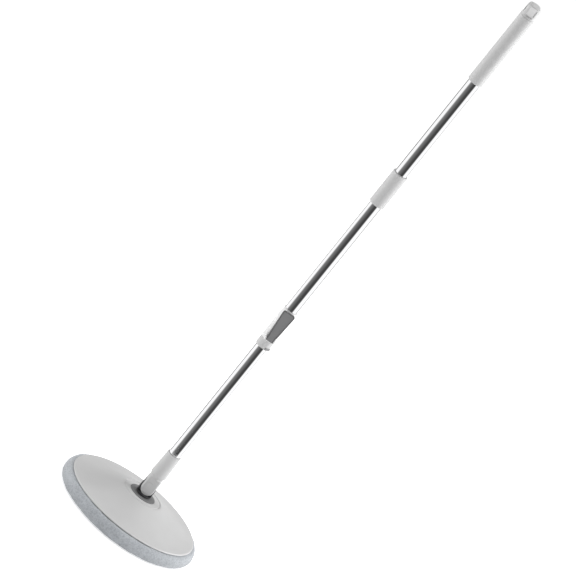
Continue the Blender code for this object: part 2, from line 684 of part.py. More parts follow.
def build_drive():
    bore = plug_radius - CARRIER_WALL
    dog_radius = bore - RUN
    neck_radius = dog_radius - CUP_RELIEF
    cup_plug = LOWER_TUBE_RADIUS - LOWER_TUBE_WALL - FIT
    tooth_floor = dogs_top - DOG_HEIGHT
    profile = [
        (dog_radius, dogs_top),
        (dog_radius, flange_top + CUP_STEP),
        (neck_radius, flange_top + CUP_STEP),
        (neck_radius, flange_top),
        (plug_radius, flange_top),
        (plug_radius, flange_top - CUP_FLANGE),
        (cup_plug, flange_top - CUP_FLANGE),
        (cup_plug, cup_bottom),
        (CUP_BORE, cup_bottom),
        (CUP_BORE, tooth_floor),
        (DOG_INNER_RADIUS, tooth_floor),
        (DOG_INNER_RADIUS, dogs_top),
    ]
    cup = turned("ratchet_cup", profile, NYLON)
    cut(cup, *dog_slots("cup_slot", tooth_floor, dogs_top + OVERCUT))

    nut_web = nut_bottom + DOG_HEIGHT
    profile = [(0, nut_top), (dog_radius, nut_top), (dog_radius, nut_bottom), (DOG_INNER_RADIUS, nut_bottom)]
    profile += [(DOG_INNER_RADIUS, nut_web), (0, nut_web)]
    nut = turned("drive_nut", profile, NYLON)
    cut(nut, *dog_slots("nut_slot", nut_bottom - OVERCUT, nut_web))

    profile = [
        (plug_radius, carrier_top),
        (plug_radius, carrier_bottom),
        (neck_radius + RUN, carrier_bottom),
        (neck_radius + RUN, carrier_bottom + 0.001),
        (bore, carrier_bottom + 0.001),
        (bore, carrier_ceiling),
        (CUP_BORE, carrier_ceiling),
        (CUP_BORE, carrier_top),
    ]
    turned("nut_carrier", profile, BLACK)

    twisted_strip("spiral_rod", 0, 0, STEEL)
    rod_space = twisted_strip("rod_space", ROD_CLEARANCE, 0.003)
    stop_top = cup_bottom - RUN
    stop_middle = Matrix.Translation((0, 0, stop_top - STOP_HEIGHT / 2))
    stop = cylinder("rod_stop", STOP_RADIUS, STOP_HEIGHT, stop_middle, STEEL, 24)
    anchor_middle = Matrix.Translation((0, 0, (anchor_bottom + anchor_top) / 2))
    anchor = cylinder("rod_anchor", plug_radius, ANCHOR_HEIGHT, anchor_middle, NYLON)
    for piece in (nut, stop, anchor):
        cut(piece, rod_space)


def build_clutch_spring():
    """A short coil between the drive nut and the roof of its carrier."""
    curve = bpy.data.curves.new("clutch_spring", "CURVE")
    curve.dimensions = "3D"
    curve.bevel_depth = SPRING_WIRE
    curve.bevel_resolution = 2
    curve.use_fill_caps = True
    radius = (DOG_INNER_RADIUS + plug_radius - CARRIER_WALL) / 2
    low = nut_top + FIT + SPRING_WIRE
    rise = carrier_ceiling - FIT - SPRING_WIRE - low
    count = SPRING_TURNS * SPRING_POINTS_PER_TURN
    spline = curve.splines.new("POLY")
    spline.points.add(count)
    for index, point in enumerate(spline.points):
        angle = 2 * math.pi * index / SPRING_POINTS_PER_TURN
        point.co = (radius * math.cos(angle), radius * math.sin(angle), low + rise * index / count, 1)
    spring = bpy.data.objects.new("clutch_spring", curve)
    curve.materials.append(STEEL)
    parts.objects.link(spring)


# ---------------------------------------------------------------- handle
def build_tubes():
    inner = POLE_RADIUS - POLE_WALL
    ring("middle_tube", POLE_RADIUS, inner, middle_tube_bottom, middle_tube_top, STAINLESS)
    ring("upper_tube", POLE_RADIUS, inner, upper_tube_bottom, upper_tube_top, STAINLESS)


def build_joiner():
    edge = 0.0008
    bottom = middle_tube_top - JOINER_REACH
    top = middle_tube_top + JOINER_REACH
    web_low = middle_tube_top + FIT
    web_high = web_low + JOINER_WEB
    hole = STUD_RADIUS + RUN
    profile = [
        (JOINER_RADIUS - edge, top),
        (JOINER_RADIUS, top - edge),
        (JOINER_RADIUS, bottom + edge),
        (JOINER_RADIUS - edge, bottom),
        (tube_seat_radius, bottom),
        (tube_seat_radius, web_low),
        (hole, web_low),
        (hole, web_high),
        (tube_seat_radius, web_high),
        (tube_seat_radius, top),
    ]
    turned("joiner_sleeve", profile, LIGHT_GREY)
    profile = [(0, socket_bottom + SOCKET_FLOOR), (hole, socket_bottom + SOCKET_FLOOR), (hole, socket_top)]
    profile += [(plug_radius, socket_top), (plug_radius, socket_bottom), (0, socket_bottom)]
    turned("joiner_socket", profile, NYLON)

    plug_bottom = web_high + FIT
    pitch = STUD_LENGTH / STUD_THREADS
    root = STUD_RADIUS - STUD_THREAD_DEPTH
    plug_top = plug_bottom + STUD_PLUG
    profile = [(0, plug_top), (plug_radius, plug_top), (plug_radius, plug_bottom)]
    profile.append((root, plug_bottom))
    for index in range(STUD_THREADS):
        crest = plug_bottom - (index + 0.5) * pitch
        profile += [(STUD_RADIUS, crest + pitch * 0.1), (STUD_RADIUS, crest - pitch * 0.1)]
        profile.append((root, crest - pitch * 0.5))
    profile.append((0, plug_bottom - STUD_LENGTH))
    turned("joiner_stud", profile, NYLON, 16)


def build_grip():
    edge = 0.0012
    bottom = grip_top - GRIP_LENGTH
    profile = [
        (GRIP_RADIUS - 0.0003, grip_top),
        (GRIP_RADIUS, grip_top - 0.0003),
        (GRIP_RADIUS, bottom + edge),
        (GRIP_RADIUS - edge, bottom),
        (tube_seat_radius, bottom),
        (tube_seat_radius, grip_top),
    ]
    turned("grip", profile, LIGHT_GREY)


def build_hang_cap():
    shoulder = cap_bottom + CAP_SKIRT
    body = GRIP_RADIUS - 0.0008
    top_round = 0.003
    profile = [(0, cap_top)] + arc(body - top_round, cap_top - top_round, top_round, 90, 0, 3)
    profile += [(body, shoulder + 0.002), (GRIP_RADIUS, shoulder - 0.0008), (GRIP_RADIUS, cap_bottom)]
    profile += [(plug_radius, cap_bottom), (plug_radius, cap_bottom - CAP_PLUG), (0, cap_bottom - CAP_PLUG)]
    cap = turned("hang_cap", profile, LIGHT_GREY)

    wide = GRIP_RADIUS + 0.004
    half = CAP_WIDTH / 2
    outline = [(wide, cap_bottom - CAP_PLUG - 0.01), (wide, shoulder - 0.001), (half, shoulder + 0.0025)]
    corner_z = cap_top + 0.0004 - CAP_CORNER
    outline += arc(half - CAP_CORNER, corner_z, CAP_CORNER, 0, 90, 6)
    outline += arc(-half + CAP_CORNER, corner_z, CAP_CORNER, 90, 180, 6)
    outline += [(-half, shoulder + 0.0025), (-wide, shoulder - 0.001), (-wide, cap_bottom - CAP_PLUG - 0.01)]
    keep_inside(cap, slab("cap_outline", outline, 2 * wide, facing_front()))
    for side, name in ((-1, "front"), (1, "back")):
        edges = sorted((side * CAP_DEPTH / 2, side * wide))
        low = (-wide, edges[0], shoulder)
        cut(cap, box(f"cap_flat_{name}", low, (wide, edges[1], cap_top + OVERCUT)))

    panel_middle = cap_top - 0.003 - PANEL_HEIGHT / 2
    half = PANEL_WIDTH / 2
    stretch = PANEL_HEIGHT - PANEL_WIDTH
    deep = PANEL_DEPTH + OVERCUT
    y = -CAP_DEPTH / 2 + PANEL_DEPTH - deep / 2
    panel = slab("cap_panel", racetrack(half, stretch), deep, facing_front(y, panel_middle - stretch / 2))
    half = HANG_SLOT_WIDTH / 2
    stretch = HANG_SLOT_HEIGHT - HANG_SLOT_WIDTH
    slot_end = panel_middle - stretch / 2
    slot = slab("hang_slot", racetrack(half, stretch, 8), 2 * wide, facing_side(z=slot_end))
    cut(cap, panel, slot)


# ---------------------------------------------------------------- lever clamp
def build_collar():
    spigot = LOWER_TUBE_RADIUS + RUN + SPIGOT_WALL
    bore = spigot + FIT
    outer = bore + COLLAR_WALL
    edge = 0.0006
    profile = [
        (outer, collar_top),
        (outer, collar_bottom + edge),
        (outer - edge, collar_bottom),
        (LOWER_TUBE_RADIUS + RUN, collar_bottom),
        (LOWER_TUBE_RADIUS + RUN, collar_bottom + COLLAR_LIP),
        (bore, collar_bottom + COLLAR_LIP),
        (bore, collar_top),
    ]
    turned("clamp_collar", profile, LIGHT_GREY)
    bush_bottom = collar_bottom + COLLAR_LIP + FIT
    ring("guide_bush", spigot, LOWER_TUBE_RADIUS + RUN, bush_bottom, bush_bottom + BUSH_HEIGHT, NYLON)

    inside = outer + FIT
    outside = inside + CLIP_THICKNESS
    front = -90
    start = front + math.degrees(CLIP_FROM)
    end = front + math.degrees(CLIP_TO)
    outline = arc(0, 0, outside, start, end, 8) + arc(0, 0, inside, end, start, 8)
    clip_middle = collar_bottom + edge + CLIP_HEIGHT / 2
    slab("collar_clip", outline, CLIP_HEIGHT, Matrix.Translation((0, 0, clip_middle)), LEVER_GREY)


def build_clamp_body():
    spigot = LOWER_TUBE_RADIUS + RUN + SPIGOT_WALL
    radius = tube_seat_radius + CLAMP_WALL
    top_radius = tube_seat_radius + CLAMP_TOP_WALL
    edge = 0.0005
    spigot_bottom = clamp_bottom - SPIGOT_LENGTH
    profile = [(0, clamp_top), (top_radius - edge, clamp_top), (top_radius, clamp_top - edge)]
    profile += [(top_radius, clamp_top - 0.004), (radius, clamp_top - 0.012), (radius, clamp_bottom)]
    profile += [(spigot, clamp_bottom), (spigot, spigot_bottom), (0, spigot_bottom)]
    clamp = turned("clamp_body", profile, CLEAR_WHITE)

    inside = -(radius - 0.004)
    step = 0.0004  # keeps the faces of joined shapes from lying in one plane
    nose_side = ear_outer - step
    nose = box("clamp_nose", (-nose_side, nose_front, clamp_bottom + step), (nose_side, inside, nose_top))
    outline = [(inside - step, clamp_bottom + 2 * step), (inside - step, nose_top + step)]
    outline += arc(lever_pivot_y, lever_pivot_z, EAR_RADIUS, 90, 270, 10)
    middle = ear_inner + EAR_THICKNESS / 2
    left_ear = slab("left_ear", outline, EAR_THICKNESS, facing_side(-middle))
    right_ear = slab("right_ear", outline, EAR_THICKNESS, facing_side(middle))
    join(clamp, nose, left_ear, right_ear)

    seat = middle_tube_bottom - FIT
    bore = LOWER_TUBE_RADIUS + RUN
    profile = [(0, clamp_top + OVERCUT), (tube_seat_radius, clamp_top + OVERCUT), (tube_seat_radius, seat)]
    profile += [(bore, seat), (bore, spigot_bottom - OVERCUT), (0, spigot_bottom - OVERCUT)]
    half = SHOE_WIDTH / 2 + RUN
    low = (-half, nose_front - OVERCUT, lever_pivot_z - SHOE_HEIGHT / 2 - RUN)
    window = box("shoe_window", low, (half, 0, lever_pivot_z + SHOE_HEIGHT / 2 + RUN))
    across = along_x(lever_pivot_y, lever_pivot_z)
    through = 2 * ear_outer + 2 * OVERCUT
    pin_hole = cylinder("lever_pin_hole", LEVER_PIN_RADIUS + FIT, through, across, sides=16)
    cut(clamp, turned("clamp_bore", profile), window, pin_hole)
    cylinder("lever_pin", LEVER_PIN_RADIUS, 2 * ear_outer, across, STEEL, 16)


def build_clamp_shoe():
    """The pad that the lever's cam presses against the lower tube. It slides along Y."""
    low = (-SHOE_WIDTH / 2, -shoe_outer, -SHOE_HEIGHT / 2)
    shoe = box("clamp_shoe", low, (SHOE_WIDTH / 2, -shoe_inner * 0.8, SHOE_HEIGHT / 2), NYLON)
    shoe.location = (0, 0, lever_pivot_z)
    shoe_middle = Matrix.Translation((0, 0, lever_pivot_z))
    tube_space = cylinder("tube_space", shoe_inner, 2 * SHOE_HEIGHT, shoe_middle)
    cut(shoe, tube_space)


def build_lever():
    """The paddle, as its side outline kept inside its front outline. Its origin is on its hinge."""
    top = LEVER_LENGTH
    tip_inner = -(tube_seat_radius + CLAMP_TOP_WALL + RUN) - lever_pivot_y
    body_clear = -(tube_seat_radius + CLAMP_WALL + RUN) - lever_pivot_y
    nose_clear = nose_front - RUN - lever_pivot_y - 0.0008
    nose_rise = nose_top - lever_pivot_z
    side = arc(CAM_THROW, 0, CAM_RADIUS, -90, 60, 10)
    side += [(nose_clear, CAM_RADIUS + 0.001), (nose_clear, nose_rise + RUN), (body_clear, nose_rise + 0.006)]
    side += [(body_clear, top - 0.014), (tip_inner, top - 0.004), (tip_inner, top)]
    side += [(tip_inner - LEVER_TIP_THICKNESS, top), (-CAM_RADIUS, 0.004)]
    side += arc(0, 0, CAM_RADIUS, 180, 260, 5)
    hinge = Matrix.Translation((0, lever_pivot_y, lever_pivot_z))
    lever = slab("lever", side, 2 * LEVER_WIDE, hinge @ facing_side(), LEVER_GREY)

    narrow = LEVER_NARROW / 2
    shoulder = LEVER_SHOULDER / 2
    wide = LEVER_WIDE / 2
    low = -CAM_RADIUS - OVERCUT
    front = [(-narrow, low), (narrow, low), (narrow, nose_rise + 0.0012), (shoulder, nose_rise + 0.004)]
    front += arc(wide - LEVER_CORNER, top - LEVER_CORNER + 0.0002, LEVER_CORNER, 0, 90, 6)
    front += arc(-wide + LEVER_CORNER, top - LEVER_CORNER + 0.0002, LEVER_CORNER, 90, 180, 6)
    front += [(-shoulder, nose_rise + 0.004), (-narrow, nose_rise + 0.0012)]
    depth = 0.06
    keep_inside(lever, slab("lever_outline", front, depth, hinge @ facing_front()))
    pin_hole = cylinder("lever_bore", LEVER_PIN_RADIUS + FIT, 2 * LEVER_WIDE, hinge @ along_x(0, 0), sides=16)
    cut(lever, pin_hole)


build_pad()
build_hook_tapes()
build_plate()
build_cover()
build_hub()
build_pivot_block()
cover_pocket_floor, pin_recess = build_ferrule()
build_tilt_pin(cover_pocket_floor, pin_recess)
build_lower_tube()
build_drive()
build_clutch_spring()
build_tubes()
build_joiner()
build_grip()
build_hang_cap()
build_collar()
build_clamp_body()
build_clamp_shoe()
build_lever()
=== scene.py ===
# %% [markdown]
# # Spin mop
# A floor mop with a round microfibre head. A bright steel handle slides inside itself, and pushing it down spins
# the head. This lesson loads the engineered model as a fixed frame, and then makes every piece that shows again
# as a finer shape with its own finish. Sizes are metres, the handle stands along Z and the lever faces -Y.

# %% Load the frame
import math

import bpy
from mathutils import Matrix, Vector


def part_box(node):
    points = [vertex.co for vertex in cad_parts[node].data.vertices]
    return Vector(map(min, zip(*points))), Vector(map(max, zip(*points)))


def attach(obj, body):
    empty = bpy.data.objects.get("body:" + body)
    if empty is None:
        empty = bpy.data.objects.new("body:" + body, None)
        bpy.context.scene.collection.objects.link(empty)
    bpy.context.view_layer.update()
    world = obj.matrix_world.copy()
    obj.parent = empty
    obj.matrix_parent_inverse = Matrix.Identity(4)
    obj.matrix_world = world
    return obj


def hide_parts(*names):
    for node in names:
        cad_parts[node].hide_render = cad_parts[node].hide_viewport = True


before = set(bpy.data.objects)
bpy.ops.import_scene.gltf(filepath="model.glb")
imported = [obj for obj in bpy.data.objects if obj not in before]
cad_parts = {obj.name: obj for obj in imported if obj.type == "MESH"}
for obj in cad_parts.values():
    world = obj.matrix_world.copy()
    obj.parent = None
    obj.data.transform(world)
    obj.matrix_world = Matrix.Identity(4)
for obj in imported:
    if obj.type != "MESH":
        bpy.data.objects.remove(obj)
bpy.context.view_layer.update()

# %% [markdown]
# ## Camera
# The mop is seen from a little above, from just left of its front, and it leans across the square view. A very
# long lens far away keeps the two ends the same size. The lean is a turn of the camera about its own line of sight.

# %% Camera
AZIMUTH = math.radians(-11)
ELEVATION = math.radians(19.4)
LEAN = math.radians(90 - 51.15)
DISTANCE = 30.0
FIELD = 1.077  # width of the view at the mop
AIM_HEIGHT = 0.560
AIM_LEFT = 0.0302
SENSOR = 36

across = Vector((math.cos(AZIMUTH), math.sin(AZIMUTH), 0))
towards_camera = Vector((math.sin(AZIMUTH) * math.cos(ELEVATION),
                         -math.cos(AZIMUTH) * math.cos(ELEVATION),
                         math.sin(ELEVATION)))
aim = Vector((0, 0, AIM_HEIGHT)) - AIM_LEFT * across
bpy.ops.object.camera_add(location=aim + towards_camera * DISTANCE)
camera = bpy.context.object
camera.rotation_mode = "QUATERNION"
level = (-towards_camera).to_track_quat("-Z", "Y").to_matrix().to_4x4()
camera.rotation_quaternion = (level @ Matrix.Rotation(LEAN, 4, "Z")).to_quaternion()
camera.data.sensor_width = SENSOR
camera.data.lens = SENSOR * DISTANCE / FIELD
camera.data.clip_end = 100
bpy.context.scene.camera = camera
bpy.context.scene.view_settings.view_transform = "Standard"
print("lens:", round(camera.data.lens), "mm")

# %% [markdown]
# ## Helpers for modelling
# Most of the mop is either turned or cut from a thick sheet. Both start as a line drawn from point to point in edit
# mode. A turned piece spins that line round Z, and a sheet piece fills it and extrudes the face. Bevel modifiers
# then round the edges, because a real moulding has no knife edges and it is the rounded edge that catches light.

# %% Drawing, spinning and extruding
SPIN_STEPS = 96
FINE_STEPS = 128
WELD = 2e-6


def drop_selection():
    if bpy.context.object and bpy.context.object.mode != "OBJECT":
        bpy.ops.object.mode_set(mode="OBJECT")
    bpy.ops.object.select_all(action="DESELECT")


def make_active(piece):
    drop_selection()
    piece.select_set(True)
    bpy.context.view_layer.objects.active = piece


def draw_line(name, points, closed=True):
    """Extrude one vertex from point to point, and leave the new object in edit mode."""
    drop_selection()
    bpy.ops.mesh.primitive_plane_add(size=0.001, location=(0, 0, 0))
    bpy.context.object.name = name
    bpy.ops.object.mode_set(mode="EDIT")
    bpy.ops.mesh.select_all(action="SELECT")
    bpy.ops.mesh.merge(type="CENTER")
    bpy.ops.transform.translate(value=points[0])
    route = list(points) + ([points[0]] if closed else [])
    for before, after in zip(route, route[1:]):
        step = [b - a for a, b in zip(before, after)]
        bpy.ops.mesh.extrude_vertices_move(TRANSFORM_OT_translate={"value": step})
    bpy.ops.mesh.select_all(action="SELECT")
    bpy.ops.mesh.remove_doubles(threshold=WELD)
    return bpy.context.object


def turn(name, outline, closed=True, steps=SPIN_STEPS):
    """Spin a line of (radius, height) points round Z into a closed skin."""
    piece = draw_line(name, [(radius, 0, height) for radius, height in outline], closed)
    bpy.ops.mesh.select_all(action="SELECT")
    bpy.ops.mesh.spin(steps=steps, angle=2 * math.pi, center=(0, 0, 0), axis=(0, 0, 1))
    bpy.ops.mesh.select_all(action="SELECT")
    bpy.ops.mesh.remove_doubles(threshold=WELD)
    bpy.ops.mesh.normals_make_consistent(inside=False)
    bpy.ops.object.mode_set(mode="OBJECT")
    return piece


def cut_from_sheet(name, outline, thickness):
    """Fill a closed line of (x, y, z) points, and extrude the face by the thickness, which is a vector."""
    piece = draw_line(name, outline)
    bpy.ops.mesh.edge_face_add()
    bpy.ops.mesh.extrude_region_move(TRANSFORM_OT_translate={"value": thickness})
    bpy.ops.mesh.select_all(action="SELECT")
    bpy.ops.mesh.normals_make_consistent(inside=False)
    bpy.ops.object.mode_set(mode="OBJECT")
    return piece


def apply_all(piece):
    make_active(piece)
    for step in list(piece.modifiers):
        bpy.ops.object.modifier_apply(modifier=step.name)


def carve(piece, tool, operation="DIFFERENCE"):
    """Cut the piece with a tool shape, or keep or join it, and take the tool away."""
    step = piece.modifiers.new(tool.name, "BOOLEAN")
    step.object, step.operation, step.solver = tool, operation, "EXACT"
    apply_all(piece)
    bpy.data.objects.remove(tool)


def soften(piece, width, segments=3, angle=32):
    """Round every edge sharper than the angle, and let the large faces lead the shading."""
    step = piece.modifiers.new("soft_edges", "BEVEL")
    step.width, step.segments = width, segments
    step.limit_method, step.angle_limit = "ANGLE", math.radians(angle)
    step.use_clamp_overlap = True
    apply_all(piece)
    bpy.ops.object.shade_smooth_by_angle(angle=math.radians(50))
    lead = piece.modifiers.new("large_faces_lead", "WEIGHTED_NORMAL")
    lead.mode, lead.weight, lead.keep_sharp = "FACE_AREA", 60, True
    apply_all(piece)


def merge_pieces(piece, *others):
    """Join separate shells into one object."""
    make_active(piece)
    for other in others:
        other.select_set(True)
    bpy.ops.object.join()


def arc(middle, radius, start, end, steps):
    """(a, b) points round part of a circle, with angles in degrees."""
    angles = [math.radians(start + (end - start) * i / steps) for i in range(steps + 1)]
    return [(middle[0] + radius * math.cos(t), middle[1] + radius * math.sin(t)) for t in angles]


def racetrack(half_width, low, high, steps=16):
    """A slot outline whose half rounds are centred at the low and high heights."""
    return arc((0, high), half_width, 0, 180, steps) + arc((0, low), half_width, 180, 360, steps)


def block(name, low, high):
    """A cube scaled to fill a box, as a tool for cutting."""
    drop_selection()
    middle = [(a + b) / 2 for a, b in zip(low, high)]
    bpy.ops.mesh.primitive_cube_add(size=1, location=middle, scale=[b - a for a, b in zip(low, high)])
    bpy.ops.object.transform_apply(location=True, rotation=True, scale=True)
    bpy.context.object.name = name
    return bpy.context.object


def rod(name, radius, low, high, place=(0, 0), axis="Z", sides=48):
    """A cylinder between two heights along an axis, as a tool or a plain pin."""
    drop_selection()
    turned = {"X": (0, math.pi / 2, 0), "Y": (math.pi / 2, 0, 0), "Z": (0, 0, 0)}[axis]
    middle = (low + high) / 2
    where = {"X": (middle, *place), "Y": (place[0], middle, place[1]), "Z": (*place, middle)}[axis]
    bpy.ops.mesh.primitive_cylinder_add(vertices=sides, radius=radius, depth=high - low, location=where,
                                        rotation=turned)
    bpy.ops.object.transform_apply(location=True, rotation=True, scale=True)
    bpy.context.object.name = name
    return bpy.context.object


def hand_over(piece, finish, body, slot, *nodes):
    """Give the piece its finish and its body, and let it stand for the frame's nodes."""
    piece.data.materials.clear()
    piece.data.materials.append(finish)
    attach(piece, body)
    if nodes:
        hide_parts(*nodes)
    faces = len(piece.data.polygons)
    print(f"{piece.name}: {faces} faces, riding on {body}")


print("helpers ready")

# %% [markdown]
# ## Shared effects
# Three effects return on several finishes, so each is a node group. Moulded plastic has a very fine grain left by
# its steel mould, and a slow drift in tone. Drawn tube has faint lines along its length. Handling leaves short
# fine scuffs. All of them read object coordinates, so they stay fixed to the piece.

# %% Node helpers
def tone(level):
    """A display level from 0 to 255 as linear light."""
    level = level / 255
    return level / 12.92 if level <= 0.04045 else ((level + 0.055) / 1.055) ** 2.4


def shade(red, green, blue):
    return (tone(red), tone(green), tone(blue), 1)


def put(tree, kind, values=None, **settings):
    """Add a node, set its properties, and fill the sockets named in values."""
    made = tree.nodes.new(kind)
    for name, value in settings.items():
        setattr(made, name, value)
    for name, value in (values or {}).items():
        made.inputs[name].default_value = value
    return made


def new_group(name, inputs, outputs):
    """A shader node group with named sockets. Each is (name, kind, starting value)."""
    tree = bpy.data.node_groups.new(name, "ShaderNodeTree")
    for label, kind, start in inputs:
        made = tree.interface.new_socket(name=label, in_out="INPUT", socket_type=kind)
        made.default_value = start
    for label, kind in outputs:
        tree.interface.new_socket(name=label, in_out="OUTPUT", socket_type=kind)
    return tree, tree.nodes.new("NodeGroupInput"), tree.nodes.new("NodeGroupOutput")


def new_finish(name, **plain):
    """A material with one Principled shader. Plain values go straight on the shader's sockets."""
    made = bpy.data.materials.new(name)
    made.use_nodes = True
    shader = made.node_tree.nodes["Principled BSDF"]
    for label, value in plain.items():
        shader.inputs[label.replace("_", " ")].default_value = value
    return made, made.node_tree, shader


def remap(tree, source, low, high, to_low, to_high):
    """Stretch a value from one range to another."""
    made = put(tree, "ShaderNodeMapRange")
    for socket, value in zip(made.inputs[1:5], (low, high, to_low, to_high)):
        socket.default_value = value
    tree.links.new(source, made.inputs[0])
    return made.outputs[0]


def tinted(tree, colour, factor):
    """A colour made lighter or darker by a value near 1."""
    made = put(tree, "ShaderNodeVectorMath", operation="SCALE")
    tree.links.new(colour, made.inputs[0])
    tree.links.new(factor, made.inputs["Scale"])
    return made.outputs[0]


print("node helpers ready")

# %% Moulded plastic group
COLOUR, VALUE = "NodeSocketColor", "NodeSocketFloat"
mould, given, result = new_group(
    "moulded_surface",
    [("Colour", COLOUR, (0.6, 0.6, 0.6, 1)), ("Drift", VALUE, 0.02), ("Grain Size", VALUE, 1600.0),
     ("Sheen Low", VALUE, 0.32), ("Sheen High", VALUE, 0.42)],
    [("Colour", COLOUR), ("Roughness", VALUE), ("Height", VALUE)])
where = put(mould, "ShaderNodeTexCoord")
slow = put(mould, "ShaderNodeTexNoise", {"Scale": 16.0, "Detail": 2.0})
fine = put(mould, "ShaderNodeTexNoise", {"Detail": 3.0, "Roughness": 0.6})
middling = put(mould, "ShaderNodeTexNoise", {"Scale": 70.0, "Detail": 3.0})
for texture in (slow, fine, middling):
    mould.links.new(where.outputs["Object"], texture.inputs["Vector"])
mould.links.new(given.outputs["Grain Size"], fine.inputs["Scale"])
centred = remap(mould, slow.outputs[0], 0.3, 0.7, -1, 1)
drift = put(mould, "ShaderNodeMath", {2: 1.0}, operation="MULTIPLY_ADD")
mould.links.new(centred, drift.inputs[0])
mould.links.new(given.outputs["Drift"], drift.inputs[1])
mould.links.new(tinted(mould, given.outputs["Colour"], drift.outputs[0]), result.inputs["Colour"])
gloss = put(mould, "ShaderNodeMapRange")
mould.links.new(middling.outputs[0], gloss.inputs[0])
gloss.inputs[1].default_value, gloss.inputs[2].default_value = 0.3, 0.7
mould.links.new(given.outputs["Sheen Low"], gloss.inputs[3])
mould.links.new(given.outputs["Sheen High"], gloss.inputs[4])
mould.links.new(gloss.outputs[0], result.inputs["Roughness"])
mould.links.new(fine.outputs[0], result.inputs["Height"])
print("moulded surface:", len(mould.nodes), "nodes")

# %% Handling scuffs group
scuffs, given, result = new_group(
    "handling_scuffs", [("Amount", VALUE, 0.5), ("Spread", VALUE, 40.0)], [("Mask", VALUE)])
where = put(scuffs, "ShaderNodeTexCoord")
turned = put(scuffs, "ShaderNodeMapping", {"Rotation": (0.4, 0.7, 0.3), "Scale": (30.0, 2.0, 6.0)})
strokes = put(scuffs, "ShaderNodeTexNoise", {"Scale": 28.0, "Detail": 5.0, "Roughness": 0.7})
patches = put(scuffs, "ShaderNodeTexNoise", {"Detail": 2.0})
scuffs.links.new(where.outputs["Object"], turned.inputs["Vector"])
scuffs.links.new(turned.outputs[0], strokes.inputs["Vector"])
scuffs.links.new(where.outputs["Object"], patches.inputs["Vector"])
scuffs.links.new(given.outputs["Spread"], patches.inputs["Scale"])
both = put(scuffs, "ShaderNodeMath", operation="MULTIPLY")
scuffs.links.new(remap(scuffs, strokes.outputs[0], 0.56, 0.70, 0, 1), both.inputs[0])
scuffs.links.new(remap(scuffs, patches.outputs[0], 0.45, 0.62, 0, 1), both.inputs[1])
scaled = put(scuffs, "ShaderNodeMath", operation="MULTIPLY", use_clamp=True)
scuffs.links.new(both.outputs[0], scaled.inputs[0])
scuffs.links.new(given.outputs["Amount"], scaled.inputs[1])
scuffs.links.new(scaled.outputs[0], result.inputs["Mask"])
print("handling scuffs:", len(scuffs.nodes), "nodes")

# %% Drawn tube group
drawn, given, result = new_group(
    "drawn_tube", [("Colour", COLOUR, (0.9, 0.9, 0.9, 1)), ("Polish", VALUE, 0.03), ("Haze", VALUE, 0.07)],
    [("Colour", COLOUR), ("Roughness", VALUE), ("Height", VALUE)])
where = put(drawn, "ShaderNodeTexCoord")
along = put(drawn, "ShaderNodeMapping", {"Scale": (1400.0, 1400.0, 9.0)})
lines = put(drawn, "ShaderNodeTexNoise", {"Scale": 1.0, "Detail": 4.0, "Roughness": 0.6})
cloud = put(drawn, "ShaderNodeTexNoise", {"Scale": 22.0, "Detail": 2.0})
drawn.links.new(where.outputs["Object"], along.inputs["Vector"])
drawn.links.new(along.outputs[0], lines.inputs["Vector"])
drawn.links.new(where.outputs["Object"], cloud.inputs["Vector"])
haze = put(drawn, "ShaderNodeMapRange")
drawn.links.new(cloud.outputs[0], haze.inputs[0])
haze.inputs[1].default_value, haze.inputs[2].default_value = 0.35, 0.65
drawn.links.new(given.outputs["Polish"], haze.inputs[3])
drawn.links.new(given.outputs["Haze"], haze.inputs[4])
drawn.links.new(haze.outputs[0], result.inputs["Roughness"])
faint = remap(drawn, lines.outputs[0], 0.3, 0.7, 0.975, 1.02)
drawn.links.new(tinted(drawn, given.outputs["Colour"], faint), result.inputs["Colour"])
drawn.links.new(lines.outputs[0], result.inputs["Height"])
print("drawn tube:", len(drawn.nodes), "nodes")

# %% [markdown]
# ## Finishes
# Each finish places the shared groups with its own values. The light grey parts are satin polypropylene, the lever
# and hub are darker grades of it, the clamp is milky and lets some light through, and the tubes are bright steel.

# %% Plastics
def plastic(name, colour, sheen=(0.32, 0.42), drift=0.02, bump=0.05, grain=1600.0, scuffed=0.0, scuff=None,
            **plain):
    """Moulded plastic, with handling scuffs where scuffed is above 0."""
    made, tree, shader = new_finish(name, **plain)
    surface = put(tree, "ShaderNodeGroup", node_tree=mould)
    for label, value in (("Colour", colour), ("Drift", drift), ("Grain Size", grain), ("Sheen Low", sheen[0]),
                         ("Sheen High", sheen[1])):
        surface.inputs[label].default_value = value
    relief = put(tree, "ShaderNodeBump", {"Strength": bump, "Distance": 0.0004})
    tree.links.new(surface.outputs["Height"], relief.inputs["Height"])
    tree.links.new(relief.outputs[0], shader.inputs["Normal"])
    tree.links.new(surface.outputs["Roughness"], shader.inputs["Roughness"])
    if scuffed:
        marks = put(tree, "ShaderNodeGroup", {"Amount": scuffed}, node_tree=scuffs)
        mixed = put(tree, "ShaderNodeMix", data_type="RGBA")
        tree.links.new(marks.outputs["Mask"], mixed.inputs["Factor"])
        tree.links.new(surface.outputs["Colour"], mixed.inputs["A"])
        mixed.inputs["B"].default_value = scuff
        tree.links.new(mixed.outputs["Result"], shader.inputs["Base Color"])
    else:
        tree.links.new(surface.outputs["Colour"], shader.inputs["Base Color"])
    return made


